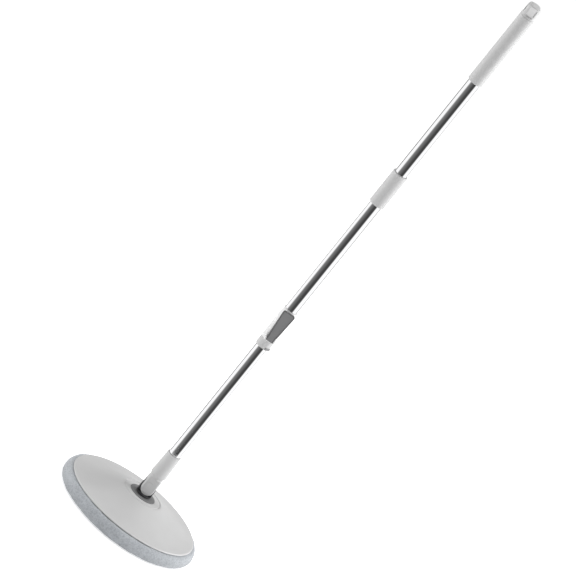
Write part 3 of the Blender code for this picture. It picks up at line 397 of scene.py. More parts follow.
light_grey = plastic("satin_light_grey", shade(199, 199, 199), scuffed=0.12, scuff=shade(187, 187, 187))
cover_grey = plastic("satin_cover_grey", shade(199, 199, 199), sheen=(0.5, 0.6), scuffed=0.10,
                     scuff=shade(186, 187, 188))
# Painted light: a paler grey for the cover's lip, lifting the shade under the rim. The lip is also a little
# smoother.
lip_painted_light = plastic("polished_lip_painted_light", shade(205, 205, 205), sheen=(0.36, 0.44))
hub_grey = plastic("matte_hub_grey", shade(120, 120, 121), sheen=(0.45, 0.55), drift=0.03, scuffed=0.25,
                   scuff=shade(134, 135, 137))
# Painted light: a paler grey for the floor of the sunk panel, lifting the shade in the recess.
panel_painted_light = plastic("matte_panel_painted_light", shade(232, 232, 232))
lever_grey = plastic("matte_lever_grey", shade(130, 130, 131), sheen=(0.42, 0.52), drift=0.03, scuffed=0.3,
                     scuff=shade(152, 152, 153))
# Painted shade: a darker grey for the lever's rim and body than for its sunk field. The rim is also a little
# smoother.
lever_rim_painted_shade = plastic("polished_lever_rim_painted_shade", shade(104, 104, 105), sheen=(0.34, 0.42), scuffed=0.3,
                         scuff=shade(122, 122, 123))
clip_grey = plastic("matte_clip_grey", shade(142, 142, 143), sheen=(0.4, 0.5))
black = plastic("matte_black", shade(52, 52, 54), sheen=(0.42, 0.55), bump=0.08, scuffed=0.3,
                scuff=shade(84, 84, 87))
nylon = plastic("natural_nylon", shade(230, 229, 223), sheen=(0.38, 0.5), drift=0.03)
milky = plastic("milky_clamp", shade(251, 251, 251), sheen=(0.24, 0.34), bump=0.03,
                Transmission_Weight=0.2, IOR=1.45)
print("plastics:", light_grey.name, hub_grey.name, lever_grey.name, black.name, milky.name)


# %% Metals
def metal(name, colour, polish, haze, bump):
    """Bare metal with faint lines along Z."""
    made, tree, shader = new_finish(name, Metallic=1.0)
    surface = put(tree, "ShaderNodeGroup", node_tree=drawn)
    surface.inputs["Colour"].default_value = colour
    surface.inputs["Polish"].default_value = polish
    surface.inputs["Haze"].default_value = haze
    relief = put(tree, "ShaderNodeBump", {"Strength": bump, "Distance": 0.0001})
    tree.links.new(surface.outputs["Height"], relief.inputs["Height"])
    tree.links.new(relief.outputs[0], shader.inputs["Normal"])
    tree.links.new(surface.outputs["Roughness"], shader.inputs["Roughness"])
    tree.links.new(surface.outputs["Colour"], shader.inputs["Base Color"])
    return made


bright_steel = metal("bright_steel_tube", shade(244, 244, 245), 0.03, 0.06, 0.01)
plated_steel = metal("zinc_plated_steel", shade(176, 178, 181), 0.22, 0.34, 0.1)
print("metals:", bright_steel.name, plated_steel.name)

# %% [markdown]
# ## Microfibre finish
# The pad is a short plush. Seen close, it is thousands of small tufts with shadow between them, and from further
# off it is soft blue grey with slow lighter and darker patches where the pile lies a different way. A cell pattern
# gives the tufts, noise breaks them up, and the shadow between the tufts is painted shade: a darker colour in the
# deep pile. The shader's own sheen lights the fibre tips. The pile's colour is also painted darker low down, where
# it meets the floor, and lighter near its top, as painted shade and light.

# %% Plush pile group and finish
pile, given, result = new_group(
    "plush_pile",
    [("Deep Painted Shade", COLOUR, (0.3, 0.3, 0.3, 1)), ("Tip", COLOUR, (0.5, 0.5, 0.5, 1)), ("Tufts", VALUE, 420.0)],
    [("Colour", COLOUR), ("Height", VALUE)])
where = put(pile, "ShaderNodeTexCoord")
wander = put(pile, "ShaderNodeTexNoise", {"Scale": 260.0, "Detail": 2.0})
pile.links.new(where.outputs["Object"], wander.inputs["Vector"])
bent = put(pile, "ShaderNodeVectorMath", operation="MULTIPLY_ADD")
bent.inputs[1].default_value = (0.004, 0.004, 0.004)
pile.links.new(wander.outputs["Color"], bent.inputs[0])
pile.links.new(where.outputs["Object"], bent.inputs[2])
tufts = put(pile, "ShaderNodeTexVoronoi", feature="SMOOTH_F1")
pile.links.new(bent.outputs[0], tufts.inputs["Vector"])
pile.links.new(given.outputs["Tufts"], tufts.inputs["Scale"])
fibres = put(pile, "ShaderNodeTexNoise", {"Scale": 1900.0, "Detail": 3.0, "Roughness": 0.7})
pile.links.new(where.outputs["Object"], fibres.inputs["Vector"])
lie = put(pile, "ShaderNodeTexNoise", {"Scale": 34.0, "Detail": 3.0, "Roughness": 0.55})
pile.links.new(where.outputs["Object"], lie.inputs["Vector"])
round_tops = remap(pile, tufts.outputs["Distance"], 0.05, 0.7, 1, 0)
height = put(pile, "ShaderNodeMath", {1: 0.35}, operation="MULTIPLY_ADD")
pile.links.new(fibres.outputs[0], height.inputs[0])
pile.links.new(round_tops, height.inputs[2])
pile.links.new(height.outputs[0], result.inputs["Height"])
# Painted shade: the low pile between the tufts takes the darker deep colour.
depth = put(pile, "ShaderNodeMix", data_type="RGBA")
pile.links.new(remap(pile, height.outputs[0], 0.2, 1.1, 0.15, 1), depth.inputs["Factor"])
pile.links.new(given.outputs["Deep Painted Shade"], depth.inputs["A"])
pile.links.new(given.outputs["Tip"], depth.inputs["B"])
patches = remap(pile, lie.outputs[0], 0.3, 0.7, 0.93, 1.07)
pile.links.new(tinted(pile, depth.outputs["Result"], patches), result.inputs["Colour"])

plush, tree, shader = new_finish("blue_grey_microfibre", Roughness=0.95, Sheen_Weight=0.25, Sheen_Roughness=0.5)
surface = put(tree, "ShaderNodeGroup", {"Deep Painted Shade": shade(152, 156, 161), "Tip": shade(186, 190, 194)}, node_tree=pile)
relief = put(tree, "ShaderNodeBump", {"Strength": 0.55, "Distance": 0.0009})
tree.links.new(surface.outputs["Height"], relief.inputs["Height"])
tree.links.new(relief.outputs[0], shader.inputs["Normal"])
where = put(tree, "ShaderNodeTexCoord")
parts = put(tree, "ShaderNodeSeparateXYZ")
tree.links.new(where.outputs["Object"], parts.inputs[0])
# Painted shade and light: the pad's colour is darker low down by the floor and lighter near its top.
painted_shade_low_down = remap(tree, parts.outputs["Z"], 0.002, 0.026, 0.72, 1.12)
tree.links.new(tinted(tree, surface.outputs["Colour"], painted_shade_low_down), shader.inputs["Base Color"])

hook_tape, tree, shader = new_finish("grey_hook_tape", Roughness=0.9)
surface = put(tree, "ShaderNodeGroup", {"Deep Painted Shade": shade(150, 150, 150), "Tip": shade(208, 208, 208),
                                        "Tufts": 900.0}, node_tree=pile)
tree.links.new(surface.outputs["Colour"], shader.inputs["Base Color"])
print("soft finishes:", plush.name, hook_tape.name)

# %% [markdown]
# ## Microfibre pad
# The pad is a thick plush disc that wraps up over the rim of its plate. It starts as a turned shape. Cloth with
# pressure inside then swells it, while the part that the plate holds is pinned, and the swelling is capped so that
# the pad stays clear of its neighbours.

# %% Pad shape
pad_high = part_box("mop_pad")[1]
plate_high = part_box("pad_plate")[1]
PAD_OUT = pad_high.x
PAD_TOP = pad_high.z + 0.0004
WELL = plate_high.x + 0.0005
WELL_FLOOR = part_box("hook_tape_1")[0].z - 0.0003
SWELL = 0.0012
SHOULDER_R = 0.0122
FOOT_R = 0.0118
edge = PAD_OUT + 0.0004
pad_outline = [(0, WELL_FLOOR), (WELL, WELL_FLOOR), (WELL, PAD_TOP - 0.0015), (WELL + 0.0015, PAD_TOP - 0.0003)]
pad_outline += arc((edge - SHOULDER_R - 0.0003, PAD_TOP - 0.0114), SHOULDER_R, 72, 0, 8)
pad_outline += arc((edge - FOOT_R, FOOT_R + 0.0004), FOOT_R, 0, -90, 10)
pad_outline.append((0, 0.0004))
pad = turn("mop_pad_fine", pad_outline, closed=False, steps=180)
print("pad before swelling:", [round(size, 4) for size in pad.dimensions])

# %% Swell the pad
EVEN_SIZE = 0.0035
PRESSURE = 4
LAST_FRAME = 20
FLOOR_GAP = 0.0002
step = pad.modifiers.new("even_mesh", "REMESH")
step.mode, step.voxel_size, step.use_smooth_shade = "VOXEL", EVEN_SIZE, True
apply_all(pad)


def held_by_plate(point):
    return math.hypot(point.x, point.y) < WELL + 0.003 and point.z > 0.006


before = [vertex.co.copy() for vertex in pad.data.vertices]
pinned = pad.vertex_groups.new(name="held")
pinned.add([i for i, point in enumerate(before) if held_by_plate(point)], 1.0, "REPLACE")
swell = pad.modifiers.new("swell", "CLOTH")
swell.settings.vertex_group_mass = "held"
swell.settings.use_pressure = True
swell.settings.uniform_pressure_force = PRESSURE
swell.settings.effector_weights.gravity = 0
swell.point_cache.frame_start, swell.point_cache.frame_end = 1, LAST_FRAME
for number in range(1, LAST_FRAME + 1):
    bpy.context.scene.frame_set(number)
apply_all(pad)
bpy.context.scene.frame_set(1)
for vertex, start in zip(pad.data.vertices, before):
    moved = vertex.co - start
    if moved.length > SWELL:
        vertex.co = start + moved * (SWELL / moved.length)
    vertex.co.z = max(vertex.co.z, FLOOR_GAP)
print("pad:", len(pad.data.vertices), "points,", [round(size, 4) for size in pad.dimensions])

# %% Plush relief
step = pad.modifiers.new("finer", "SUBSURF")
step.levels = step.render_levels = 1
apply_all(pad)
RELIEF = (("slow_lumps", 0.024, 0.0012), ("pile_tufts", 0.0052, 0.0011))  # name, size and height
for label, size, strength in RELIEF:
    texture = bpy.data.textures.new(label, "CLOUDS")
    texture.noise_scale = size
    texture.noise_depth = 1
    step = pad.modifiers.new(label, "DISPLACE")
    step.texture, step.strength, step.mid_level = texture, strength, 0.45
    step.texture_coords = "LOCAL"
    apply_all(pad)
for vertex in pad.data.vertices:
    vertex.co.z = max(vertex.co.z, 0.0)
make_active(pad)
bpy.ops.object.shade_smooth()
hand_over(pad, plush, "head", "microfibre", "mop_pad")

# %% [markdown]
# ## Head cover
# The cover is a thin dished moulding. It rises in a hollow curve from its rim to a flat crown, has a polished lip
# round the rim, and a shallow groove rings the crown. The lip is painted a paler grey than the cover, as painted
# light that lifts the shade under the rim. It is one turned line that runs out over the top and back
# underneath, so the wall has its real thickness.

# %% Cover
cover_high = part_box("cover")[1]
RIM = cover_high.x
CROWN_Z = cover_high.z
COVER_FOOT = 0.029
CROWN_OUT = 0.044
WALL = 0.0025
LIP_WIDTH = 0.0035
SWEEP = 1.6
GROOVE_R = 0.0402
GROOVE_DEPTH = 0.0014
hub_low, hub_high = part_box("hub_plate")
HUB_OUT = hub_high.x


def flank(radius):
    """Height of the cover's outside at a radius."""
    share = (RIM - radius) / (RIM - CROWN_OUT)
    return COVER_FOOT + WALL + (CROWN_Z - COVER_FOOT - WALL) * share ** SWEEP


radii = [CROWN_OUT + (RIM - LIP_WIDTH - CROWN_OUT) * i / 30 for i in range(31)]
groove = arc((GROOVE_R, CROWN_Z), GROOVE_DEPTH, 180, 360, 8)
seat, seat_floor = HUB_OUT + 0.0003, hub_low.z - 0.0003
outside = [(0, seat_floor), (seat, seat_floor), (seat, CROWN_Z)] + groove
outside += [(radius, flank(radius)) for radius in radii]
lip_top = flank(RIM - LIP_WIDTH)
lip = [(RIM - 0.0031, lip_top + 0.0001), (RIM - 0.0017, lip_top - 0.0003), (RIM - 0.0008, lip_top - 0.0009)]
lip += [(RIM - 0.0002, lip_top - 0.0017), (RIM, COVER_FOOT + 0.0003), (RIM - 0.0006, COVER_FOOT)]
inside = [(RIM - 0.003, COVER_FOOT), (RIM - 0.0032, flank(RIM - 0.0032) - WALL + 0.0006)]
inside += [(radius, flank(radius) - WALL) for radius in reversed(radii[::2])]
inside += [(seat + WALL, CROWN_Z - WALL), (seat + WALL, seat_floor - WALL), (0, seat_floor - WALL)]
cover = turn("cover_fine", outside + lip + inside, closed=False, steps=160)
soften(cover, 0.0004, segments=2, angle=50)
hand_over(cover, cover_grey, "head", "light_grey_plastic", "cover")
# Painted light: the lip's faces get the paler grey, against the shade under the rim.
cover.data.materials.append(lip_painted_light)
for face in cover.data.polygons:
    far = math.hypot(face.center.x, face.center.y)
    if far > RIM - LIP_WIDTH + 0.0001 and face.center.z > COVER_FOOT + 0.0004:
        face.material_index = 1
print("lip height:", round(lip_top - COVER_FOOT, 4))

# %% [markdown]
# ## Hub plate
# A dark disc closes the crown and carries the tilting joint. It is turned, with a rounded edge and a shallow step
# near the middle where the pivot block stands.

# %% Hub plate
STEP_R = 0.0192
STEP_DEPTH = 0.0004
hub_outline = [(0, hub_low.z), (HUB_OUT, hub_low.z), (HUB_OUT, hub_high.z), (STEP_R, hub_high.z),
               (STEP_R - STEP_DEPTH, hub_high.z - STEP_DEPTH), (0, hub_high.z - STEP_DEPTH)]
hub = turn("hub_plate_fine", hub_outline, closed=False)
soften(hub, 0.0005)
hand_over(hub, hub_grey, "head", "dark_grey_plastic", "hub_plate")

# %% [markdown]
# ## Pivot block
# The black block stands on the hub. Its round foot is screwed down from below, and its upright tongue, with a
# full round top, sits between the two cheeks of the fork.

# %% Pivot block
block_low, block_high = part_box("pivot_block")
TILT_Z = 0.0768
TONGUE_R = block_high.z - TILT_Z
TONGUE_T = 0.009
PIN_HOLE = 0.0032
foot = rod("pivot_foot", block_high.x, block_low.z, block_low.z + 0.003, sides=96)
soften(foot, 0.0006)
tongue_outline = [(x, -TONGUE_T / 2, z) for x, z in arc((0, TILT_Z), TONGUE_R, 0, 180, 48)]
root_z = block_low.z + 0.0015
tongue_outline += [(-TONGUE_R, -TONGUE_T / 2, root_z), (TONGUE_R, -TONGUE_T / 2, root_z)]
tongue = cut_from_sheet("pivot_block_fine", tongue_outline, (0, TONGUE_T, 0))
carve(tongue, rod("tongue_bore", PIN_HOLE, -0.02, 0.02, place=(0, TILT_Z), axis="Y"))
soften(tongue, 0.0005)
merge_pieces(tongue, foot)
hand_over(tongue, black, "head", "black_plastic", "pivot_block")

# %% [markdown]
# ## Ferrule and fork
# The ferrule holds the lower tube, swells to a barrel, narrows to a neck, and ends in a fork that straddles the
# pivot block. The barrel is turned. The fork is what is left when the turned shape is kept inside a flat outline,
# faced off front and back, and slotted. WIDE is the half width of a cutting tool that clears every slim piece.

# %% Ferrule
ferrule_low, ferrule_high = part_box("ferrule")
FERRULE_TOP = ferrule_high.z
CHEEK_R = TILT_Z - ferrule_low.z
CHEEK_IN = TONGUE_T / 2 + 0.0004
CHEEK_OUT = CHEEK_IN + 0.0054
SOCKET_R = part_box("lower_tube")[1].x + 0.0003
BARREL_R = 0.0162
NECK_R = 0.0138
NECK_Z = TILT_Z + 0.0255
FORK_Z = TILT_Z + 0.0195
BELOW = 0.05
SOCKET_FLOOR = 0.1183
barrel_z = TILT_Z + 0.034
ferrule_outline = [(0, FERRULE_TOP), (SOCKET_R + 0.002, FERRULE_TOP)]
ferrule_outline += [(BARREL_R - 0.0002, barrel_z + 0.006), (BARREL_R, barrel_z + 0.002)]
ferrule_outline.append((BARREL_R, barrel_z))
ferrule_outline += arc((BARREL_R - 0.0025, barrel_z - 0.001), 0.0025, 0, -50, 6)[1:]
ferrule_outline += [(NECK_R, NECK_Z + 0.002), (NECK_R, NECK_Z), (CHEEK_R + 0.0014, FORK_Z + 0.001)]
ferrule_outline += [(CHEEK_R + 0.0014, ferrule_low.z - 0.001), (0, ferrule_low.z - 0.001)]
ferrule = turn("ferrule_fine", ferrule_outline, closed=False)
WIDE = 0.022
fork_outline = [(WIDE, -WIDE, NECK_Z), (WIDE, -WIDE, FERRULE_TOP + 0.01), (-WIDE, -WIDE, FERRULE_TOP + 0.01),
                (-WIDE, -WIDE, NECK_Z), (-CHEEK_R, -WIDE, FORK_Z)]
fork_outline += [(x, -WIDE, z) for x, z in arc((0, TILT_Z), CHEEK_R, 180, 360, 48)]
fork_outline.append((CHEEK_R, -WIDE, FORK_Z))
carve(ferrule, cut_from_sheet("fork_outline", fork_outline, (0, 2 * WIDE, 0)), "INTERSECT")
slot_top = TILT_Z + TONGUE_R + 0.0008
carve(ferrule, block("fork_slot", (-WIDE, -CHEEK_IN, BELOW), (WIDE, CHEEK_IN, slot_top)))
for side in (-1, 1):
    near, far = sorted((side * CHEEK_OUT, side * WIDE))
    carve(ferrule, block("cheek_face", (-WIDE, near, BELOW), (WIDE, far, NECK_Z - 0.001)))
    near, far = sorted((side * (CHEEK_OUT - 0.0012), side * WIDE))
    pocket = [(x, near, z) for x, z in racetrack(CHEEK_R - 0.0026, TILT_Z, TILT_Z + 0.003)]
    carve(ferrule, cut_from_sheet("cheek_pocket", pocket, (0, far - near, 0)))
carve(ferrule, rod("pin_bore", PIN_HOLE, -WIDE, WIDE, place=(0, TILT_Z), axis="Y"))
carve(ferrule, rod("tube_socket", SOCKET_R, SOCKET_FLOOR, FERRULE_TOP + 0.01, sides=SPIN_STEPS))
soften(ferrule, 0.00045, segments=2, angle=38)
hand_over(ferrule, light_grey, "lower_pole", "light_grey_plastic", "ferrule")

# %% Cheek covers
for side, node in ((-1, "cheek_cover_front"), (1, "cheek_cover_back")):
    low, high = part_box(node)
    lid_outline = [(x, low.y, z) for x, z in racetrack(high.x, TILT_Z, TILT_Z + 0.003, steps=32)]
    lid = cut_from_sheet(node + "_fine", lid_outline, (0, high.y - low.y, 0))
    soften(lid, 0.00025, segments=2)
    hand_over(lid, light_grey, "lower_pole", "light_grey_plastic", node)

# %% [markdown]
# ## Tubes
# The three tubes are thin drawn steel. Each is a real wall with an inside, spun round Z from a small rectangle, and
# its ends get the slight rounding that deburring leaves.

# %% Tubes
END_BAND = 0.0015
THIN_WALL, THICK_WALL = 0.00035, 0.0004


def stretch(radius, start, end, spans=12):
    """Points along a straight wall, with one close to each end to hold the shading straight."""
    inset = END_BAND if end > start else -END_BAND
    first, last = start + inset, end - inset
    between = [(radius, first + (last - first) * i / spans) for i in range(spans + 1)]
    return [(radius, start)] + between + [(radius, end)]


def tube(node, wall, body):
    low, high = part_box(node)
    inner = high.x - wall
    outline = stretch(high.x, low.z, high.z) + stretch(inner, high.z, low.z)
    piece = turn(node + "_fine", outline, steps=FINE_STEPS)
    soften(piece, wall * 0.3, segments=1)
    hand_over(piece, bright_steel, body, "stainless", node)


tube("lower_tube", THICK_WALL, "lower_pole")
tube("middle_tube", THIN_WALL, "handle")
tube("upper_tube", THIN_WALL, "handle")

# %% [markdown]
# ## Joiner sleeve and grip
# Both are long plain mouldings over the tube. The joiner has well rounded ends and a web inside at its middle,
# where the upper and middle tubes meet. The grip's foot is rounded and its top meets the hanging end.

# %% Joiner sleeve
low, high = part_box("joiner_sleeve")
SEAT_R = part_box("middle_tube")[1].x + 0.0003
middle = (low.z + high.z) / 2
outline = stretch(high.x, low.z, high.z, 4) + stretch(SEAT_R, high.z, low.z, 4)
sleeve = turn("joiner_sleeve_fine", outline, steps=FINE_STEPS)
WEB_HOLE = 0.0062
web_low, web_high, web_edge = middle + 0.0003, middle + 0.0037, SEAT_R + 0.0002
web = turn("joiner_web", [(WEB_HOLE, web_low), (WEB_HOLE, web_high), (web_edge, web_high), (web_edge, web_low)])
soften(sleeve, 0.0009, segments=4)
merge_pieces(sleeve, web)
hand_over(sleeve, light_grey, "handle", "light_grey_plastic", "joiner_sleeve")

# %% Grip
low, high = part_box("grip")
outline = stretch(high.x, low.z, high.z, 6) + stretch(SEAT_R, high.z, low.z, 6)
grip = turn("grip_fine", outline, steps=FINE_STEPS)
soften(grip, 0.0009, segments=4)
hand_over(grip, light_grey, "handle", "light_grey_plastic", "grip")

# %% [markdown]
# ## Hanging end
# The end of the grip narrows to a flat tongue with rounded corners. A slot goes through it from side to side for a
# hook, and its face has a shallow sunk panel, with a narrow gap down its right. The panel's floor is painted a
# paler grey, as painted light that lifts the shade in the recess. It is turned first, then kept inside a flat
# outline and cut.

# %% Hanging end
cap_low, cap_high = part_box("hang_cap")
CAP_TOP = cap_high.z
CAP_FOOT = grip.dimensions.z + low.z + 0.0003
SHOULDER = CAP_FOOT + 0.003
TONGUE_HALF = 0.0136
TONGUE_FACE = 0.0131
CAP_R = 0.0144
GRIP_R = high.x
PLUG_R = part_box("upper_tube")[1].x - 0.00065
CAP_ROUNDING = 0.003
cap_outline = [(0, CAP_TOP)]
cap_outline += arc((CAP_R - CAP_ROUNDING, CAP_TOP - CAP_ROUNDING), CAP_ROUNDING, 90, 0, 8)
cap_outline += [(CAP_R, SHOULDER + 0.002), (GRIP_R, SHOULDER - 0.0008), (GRIP_R, CAP_FOOT)]
cap_outline += [(PLUG_R, CAP_FOOT), (PLUG_R, cap_low.z), (0, cap_low.z)]
cap = turn("hang_cap_fine", cap_outline, closed=False)
corner = 0.008
tongue_outline = [(WIDE, -WIDE, cap_low.z - 0.01), (WIDE, -WIDE, SHOULDER - 0.001),
                  (TONGUE_HALF, -WIDE, SHOULDER + 0.0025)]
corner_z = CAP_TOP + 0.0004 - corner
tongue_outline += [(x, -WIDE, z) for x, z in arc((TONGUE_HALF - corner, corner_z), corner, 0, 90, 16)]
tongue_outline += [(x, -WIDE, z) for x, z in arc((corner - TONGUE_HALF, corner_z), corner, 90, 180, 16)]
tongue_outline += [(-TONGUE_HALF, -WIDE, SHOULDER + 0.0025), (-WIDE, -WIDE, SHOULDER - 0.001),
                   (-WIDE, -WIDE, cap_low.z - 0.01)]
carve(cap, cut_from_sheet("tongue_outline", tongue_outline, (0, 2 * WIDE, 0)), "INTERSECT")
for side in (-1, 1):
    near, far = sorted((side * TONGUE_FACE, side * WIDE))
    carve(cap, block("tongue_face", (-WIDE, near, SHOULDER), (WIDE, far, CAP_TOP + 0.01)))
panel_z = CAP_TOP - 0.01325
PANEL_HALF = 0.0086
PANEL_DEPTH = 0.0011
GAP_X, GAP_HALF, GAP_DEPTH = 0.0068, 0.0013, 0.0006
SLOT_HALF = 0.0045
corner = 0.0035
left, right = corner - PANEL_HALF, PANEL_HALF - corner
bottom, top = panel_z - 0.0082 + corner, panel_z + 0.0112 - corner
panel = arc((right, top), corner, 0, 90, 8) + arc((left, top), corner, 90, 180, 8)
panel += arc((left, bottom), corner, 180, 270, 8) + arc((right, bottom), corner, 270, 360, 8)
panel = [(x, -WIDE, z) for x, z in panel]
carve(cap, cut_from_sheet("sunk_panel", panel, (0, WIDE - TONGUE_FACE + PANEL_DEPTH, 0)))
gap = [(x + GAP_X, -WIDE, z) for x, z in racetrack(GAP_HALF, bottom + 0.0003, top - 0.0003, steps=10)]
carve(cap, cut_from_sheet("panel_gap", gap, (0, WIDE - TONGUE_FACE + PANEL_DEPTH + GAP_DEPTH, 0)))
slot = [(-WIDE, y, z) for y, z in racetrack(SLOT_HALF, panel_z - 0.0015, panel_z + 0.0015)]
carve(cap, cut_from_sheet("hook_slot", slot, (2 * WIDE, 0, 0)))
soften(cap, 0.0005, segments=2, angle=38)
hand_over(cap, light_grey, "handle", "light_grey_plastic", "hang_cap")
# Painted light: the panel's floor faces get the paler grey, against the shade in the recess.
cap.data.materials.append(panel_painted_light)
for face in cap.data.polygons:
    if face.normal.y < -0.9 and abs(face.center.y + TONGUE_FACE - PANEL_DEPTH) < 0.0003:
        face.material_index = 1

# %% [markdown]
# ## Clamp
# A milky body holds the middle tube and guides the lower one. A light grey collar closes its foot, with a small
# darker clip on the collar, and two ears carry the pin of the lever.

# %% Collar and clip
low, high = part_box("clamp_collar")
GUIDE_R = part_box("lower_tube")[1].x + 0.0004
collar_bore = high.x - 0.001
ledge_z = low.z + 0.0015
collar = turn("clamp_collar_fine", [(high.x, high.z), (high.x, low.z), (GUIDE_R, low.z), (GUIDE_R, ledge_z),
                                    (collar_bore, ledge_z), (collar_bore, high.z)])
soften(collar, 0.00035, segments=3)
hand_over(collar, light_grey, "handle", "light_grey_plastic", "clamp_collar")

clip_low, clip_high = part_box("collar_clip")
inner, outer = high.x + 0.0003, high.x + 0.0019
ring_part = arc((0, 0), outer, -73, -15, 20) + arc((0, 0), inner, -15, -73, 20)
clip_outline = [(x, y, clip_low.z) for x, y in ring_part]
clip = cut_from_sheet("collar_clip_fine", clip_outline, (0, 0, clip_high.z - clip_low.z))
soften(clip, 0.0004, segments=3, angle=45)
hand_over(clip, clip_grey, "handle", "mid_grey_plastic", "collar_clip")

# %% Clamp body
low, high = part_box("clamp_body")
CLAMP_FOOT = 0.4573
CLAMP_TOP = high.z
BODY_R = SEAT_R + 0.0018
SPIGOT_R = GUIDE_R + 0.0009
PIVOT_Y, PIVOT_Z = -0.0205, 0.4638
EAR_OUT = 0.0105
body_outline = [(0, CLAMP_TOP), (SEAT_R + 0.0011, CLAMP_TOP), (SEAT_R + 0.0011, CLAMP_TOP - 0.004)]
body_outline += [(BODY_R - 0.0001, CLAMP_TOP - 0.0105), (BODY_R, CLAMP_TOP - 0.013)]
body_outline.append((BODY_R, CLAMP_FOOT))
body_outline += [(SPIGOT_R, CLAMP_FOOT), (SPIGOT_R, low.z), (0, low.z)]
clamp = turn("clamp_body_fine", body_outline, closed=False)
NOSE_FRONT, NOSE_BACK, NOSE_TOP = -0.0158, -0.010, 0.4709
EAR_T, EAR_R = 0.0023, 0.0034
LEVER_PIN_HOLE = 0.0015
SEAT_FLOOR = 0.4720
nose = block("clamp_nose", (-EAR_OUT + 0.0004, NOSE_FRONT, CLAMP_FOOT + 0.0004),
             (EAR_OUT - 0.0004, NOSE_BACK, NOSE_TOP))
carve(clamp, nose, "UNION")
for side in (-1, 1):
    near, far = sorted((side * (EAR_OUT - EAR_T), side * EAR_OUT))
    ear = [(near, NOSE_BACK, CLAMP_FOOT + 0.0008), (near, NOSE_BACK, NOSE_TOP + 0.0004)]
    ear += [(near, y, z) for y, z in arc((PIVOT_Y, PIVOT_Z), EAR_R, 90, 270, 20)]
    carve(clamp, cut_from_sheet("ear", ear, (far - near, 0, 0)), "UNION")
carve(clamp, rod("upper_seat", SEAT_R, SEAT_FLOOR, CLAMP_TOP + 0.01, sides=SPIN_STEPS))
carve(clamp, rod("guide_bore", GUIDE_R, low.z - 0.01, SEAT_FLOOR + 0.0005, sides=SPIN_STEPS))
carve(clamp, block("shoe_window", (-0.005, -0.03, PIVOT_Z - 0.0045), (0.005, 0, PIVOT_Z + 0.0045)))
carve(clamp, rod("pin_hole", LEVER_PIN_HOLE, -0.02, 0.02, place=(PIVOT_Y, PIVOT_Z), axis="X"))
soften(clamp, 0.0004, segments=2, angle=38)
hand_over(clamp, milky, "handle", "clear_white_plastic", "clamp_body")

# %% [markdown]
# ## Lever
# The lever is a paddle that widens towards its free end. Its side outline gives the cam and the hollow that clears
# the tube, and its front outline gives the paddle. The thumb face has a raised rim round a sunk field. The rim and
# the rest of the lever are painted a darker grey than the field, as painted shade along the edges.

# %% Lever
CAM_R, THROW = 0.0031, 0.0009
lever_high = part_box("lever")[1]
LEVER_TOP = lever_high.z
PADDLE_T = 0.0024
CORNER_R = 0.0044
TIP_IN = -(SEAT_R + 0.0011 + 0.0004)
BODY_CLEAR = -(BODY_R + 0.0004)
NOSE_CLEAR = NOSE_FRONT - 0.0004 - 0.0008
side_outline = [(PIVOT_Y + y, PIVOT_Z + z) for y, z in arc((THROW, 0), CAM_R, -90, 60, 24)]
side_outline += [(NOSE_CLEAR, PIVOT_Z + CAM_R + 0.001), (NOSE_CLEAR, NOSE_TOP + 0.0004)]
side_outline += [(BODY_CLEAR, NOSE_TOP + 0.006), (BODY_CLEAR, LEVER_TOP - 0.014), (TIP_IN, LEVER_TOP - 0.004)]
side_outline += [(TIP_IN, LEVER_TOP), (TIP_IN - PADDLE_T, LEVER_TOP), (PIVOT_Y - CAM_R, PIVOT_Z + 0.004)]
side_outline += [(PIVOT_Y + y, PIVOT_Z + z) for y, z in arc((0, 0), CAM_R, 180, 260, 12)]
lever = cut_from_sheet("lever_fine", [(-0.02, y, z) for y, z in side_outline], (0.04, 0, 0))
NARROW, SHOULDER_HALF, BROAD = 0.0078, 0.0088, lever_high.x
front_outline = [(-NARROW, CLAMP_FOOT - 0.0073), (NARROW, CLAMP_FOOT - 0.0073), (NARROW, NOSE_TOP + 0.0012)]
front_outline.append((SHOULDER_HALF, NOSE_TOP + 0.004))
corner_z = LEVER_TOP - 0.0042
front_outline += arc((BROAD - CORNER_R, corner_z), CORNER_R, 0, 90, 14)
front_outline += arc((CORNER_R - BROAD, corner_z), CORNER_R, 90, 180, 14)
front_outline += [(-SHOULDER_HALF, NOSE_TOP + 0.004), (-NARROW, NOSE_TOP + 0.0012)]
paddle = cut_from_sheet("paddle_outline", [(x, -0.05, z) for x, z in front_outline], (0, 0.06, 0))
carve(lever, paddle, "INTERSECT")

# %% Sunk field and rim of the lever
RIM_WIDTH, SUNK = 0.0021, 0.0005
lean = Vector((0, PIVOT_Y - CAM_R - (TIP_IN - PADDLE_T), PIVOT_Z + 0.004 - LEVER_TOP)).normalized()
outward = lean.cross(Vector((1, 0, 0))).normalized()
outward = outward if outward.y < 0 else -outward
start = Vector((0, TIP_IN - PADDLE_T, LEVER_TOP))
FIELD_R = 0.0050
field_outline = [(-NARROW + RIM_WIDTH, PIVOT_Z + 0.0002), (NARROW - RIM_WIDTH, PIVOT_Z + 0.0002),
                 (NARROW - RIM_WIDTH, NOSE_TOP + 0.0018), (SHOULDER_HALF - RIM_WIDTH, NOSE_TOP + 0.0046)]
field_outline += arc((BROAD - FIELD_R, corner_z - 0.0008), FIELD_R - RIM_WIDTH, 0, 90, 10)
field_outline += arc((FIELD_R - BROAD, corner_z - 0.0008), FIELD_R - RIM_WIDTH, 90, 180, 10)
field_outline += [(RIM_WIDTH - SHOULDER_HALF, NOSE_TOP + 0.0046), (RIM_WIDTH - NARROW, NOSE_TOP + 0.0018)]
field = []
for x, z in field_outline:
    along_face = (z - start.z) / lean.z
    field.append(Vector((x, start.y + lean.y * along_face, z)) - outward * SUNK)
carve(lever, cut_from_sheet("sunk_field", field, outward * 0.004))
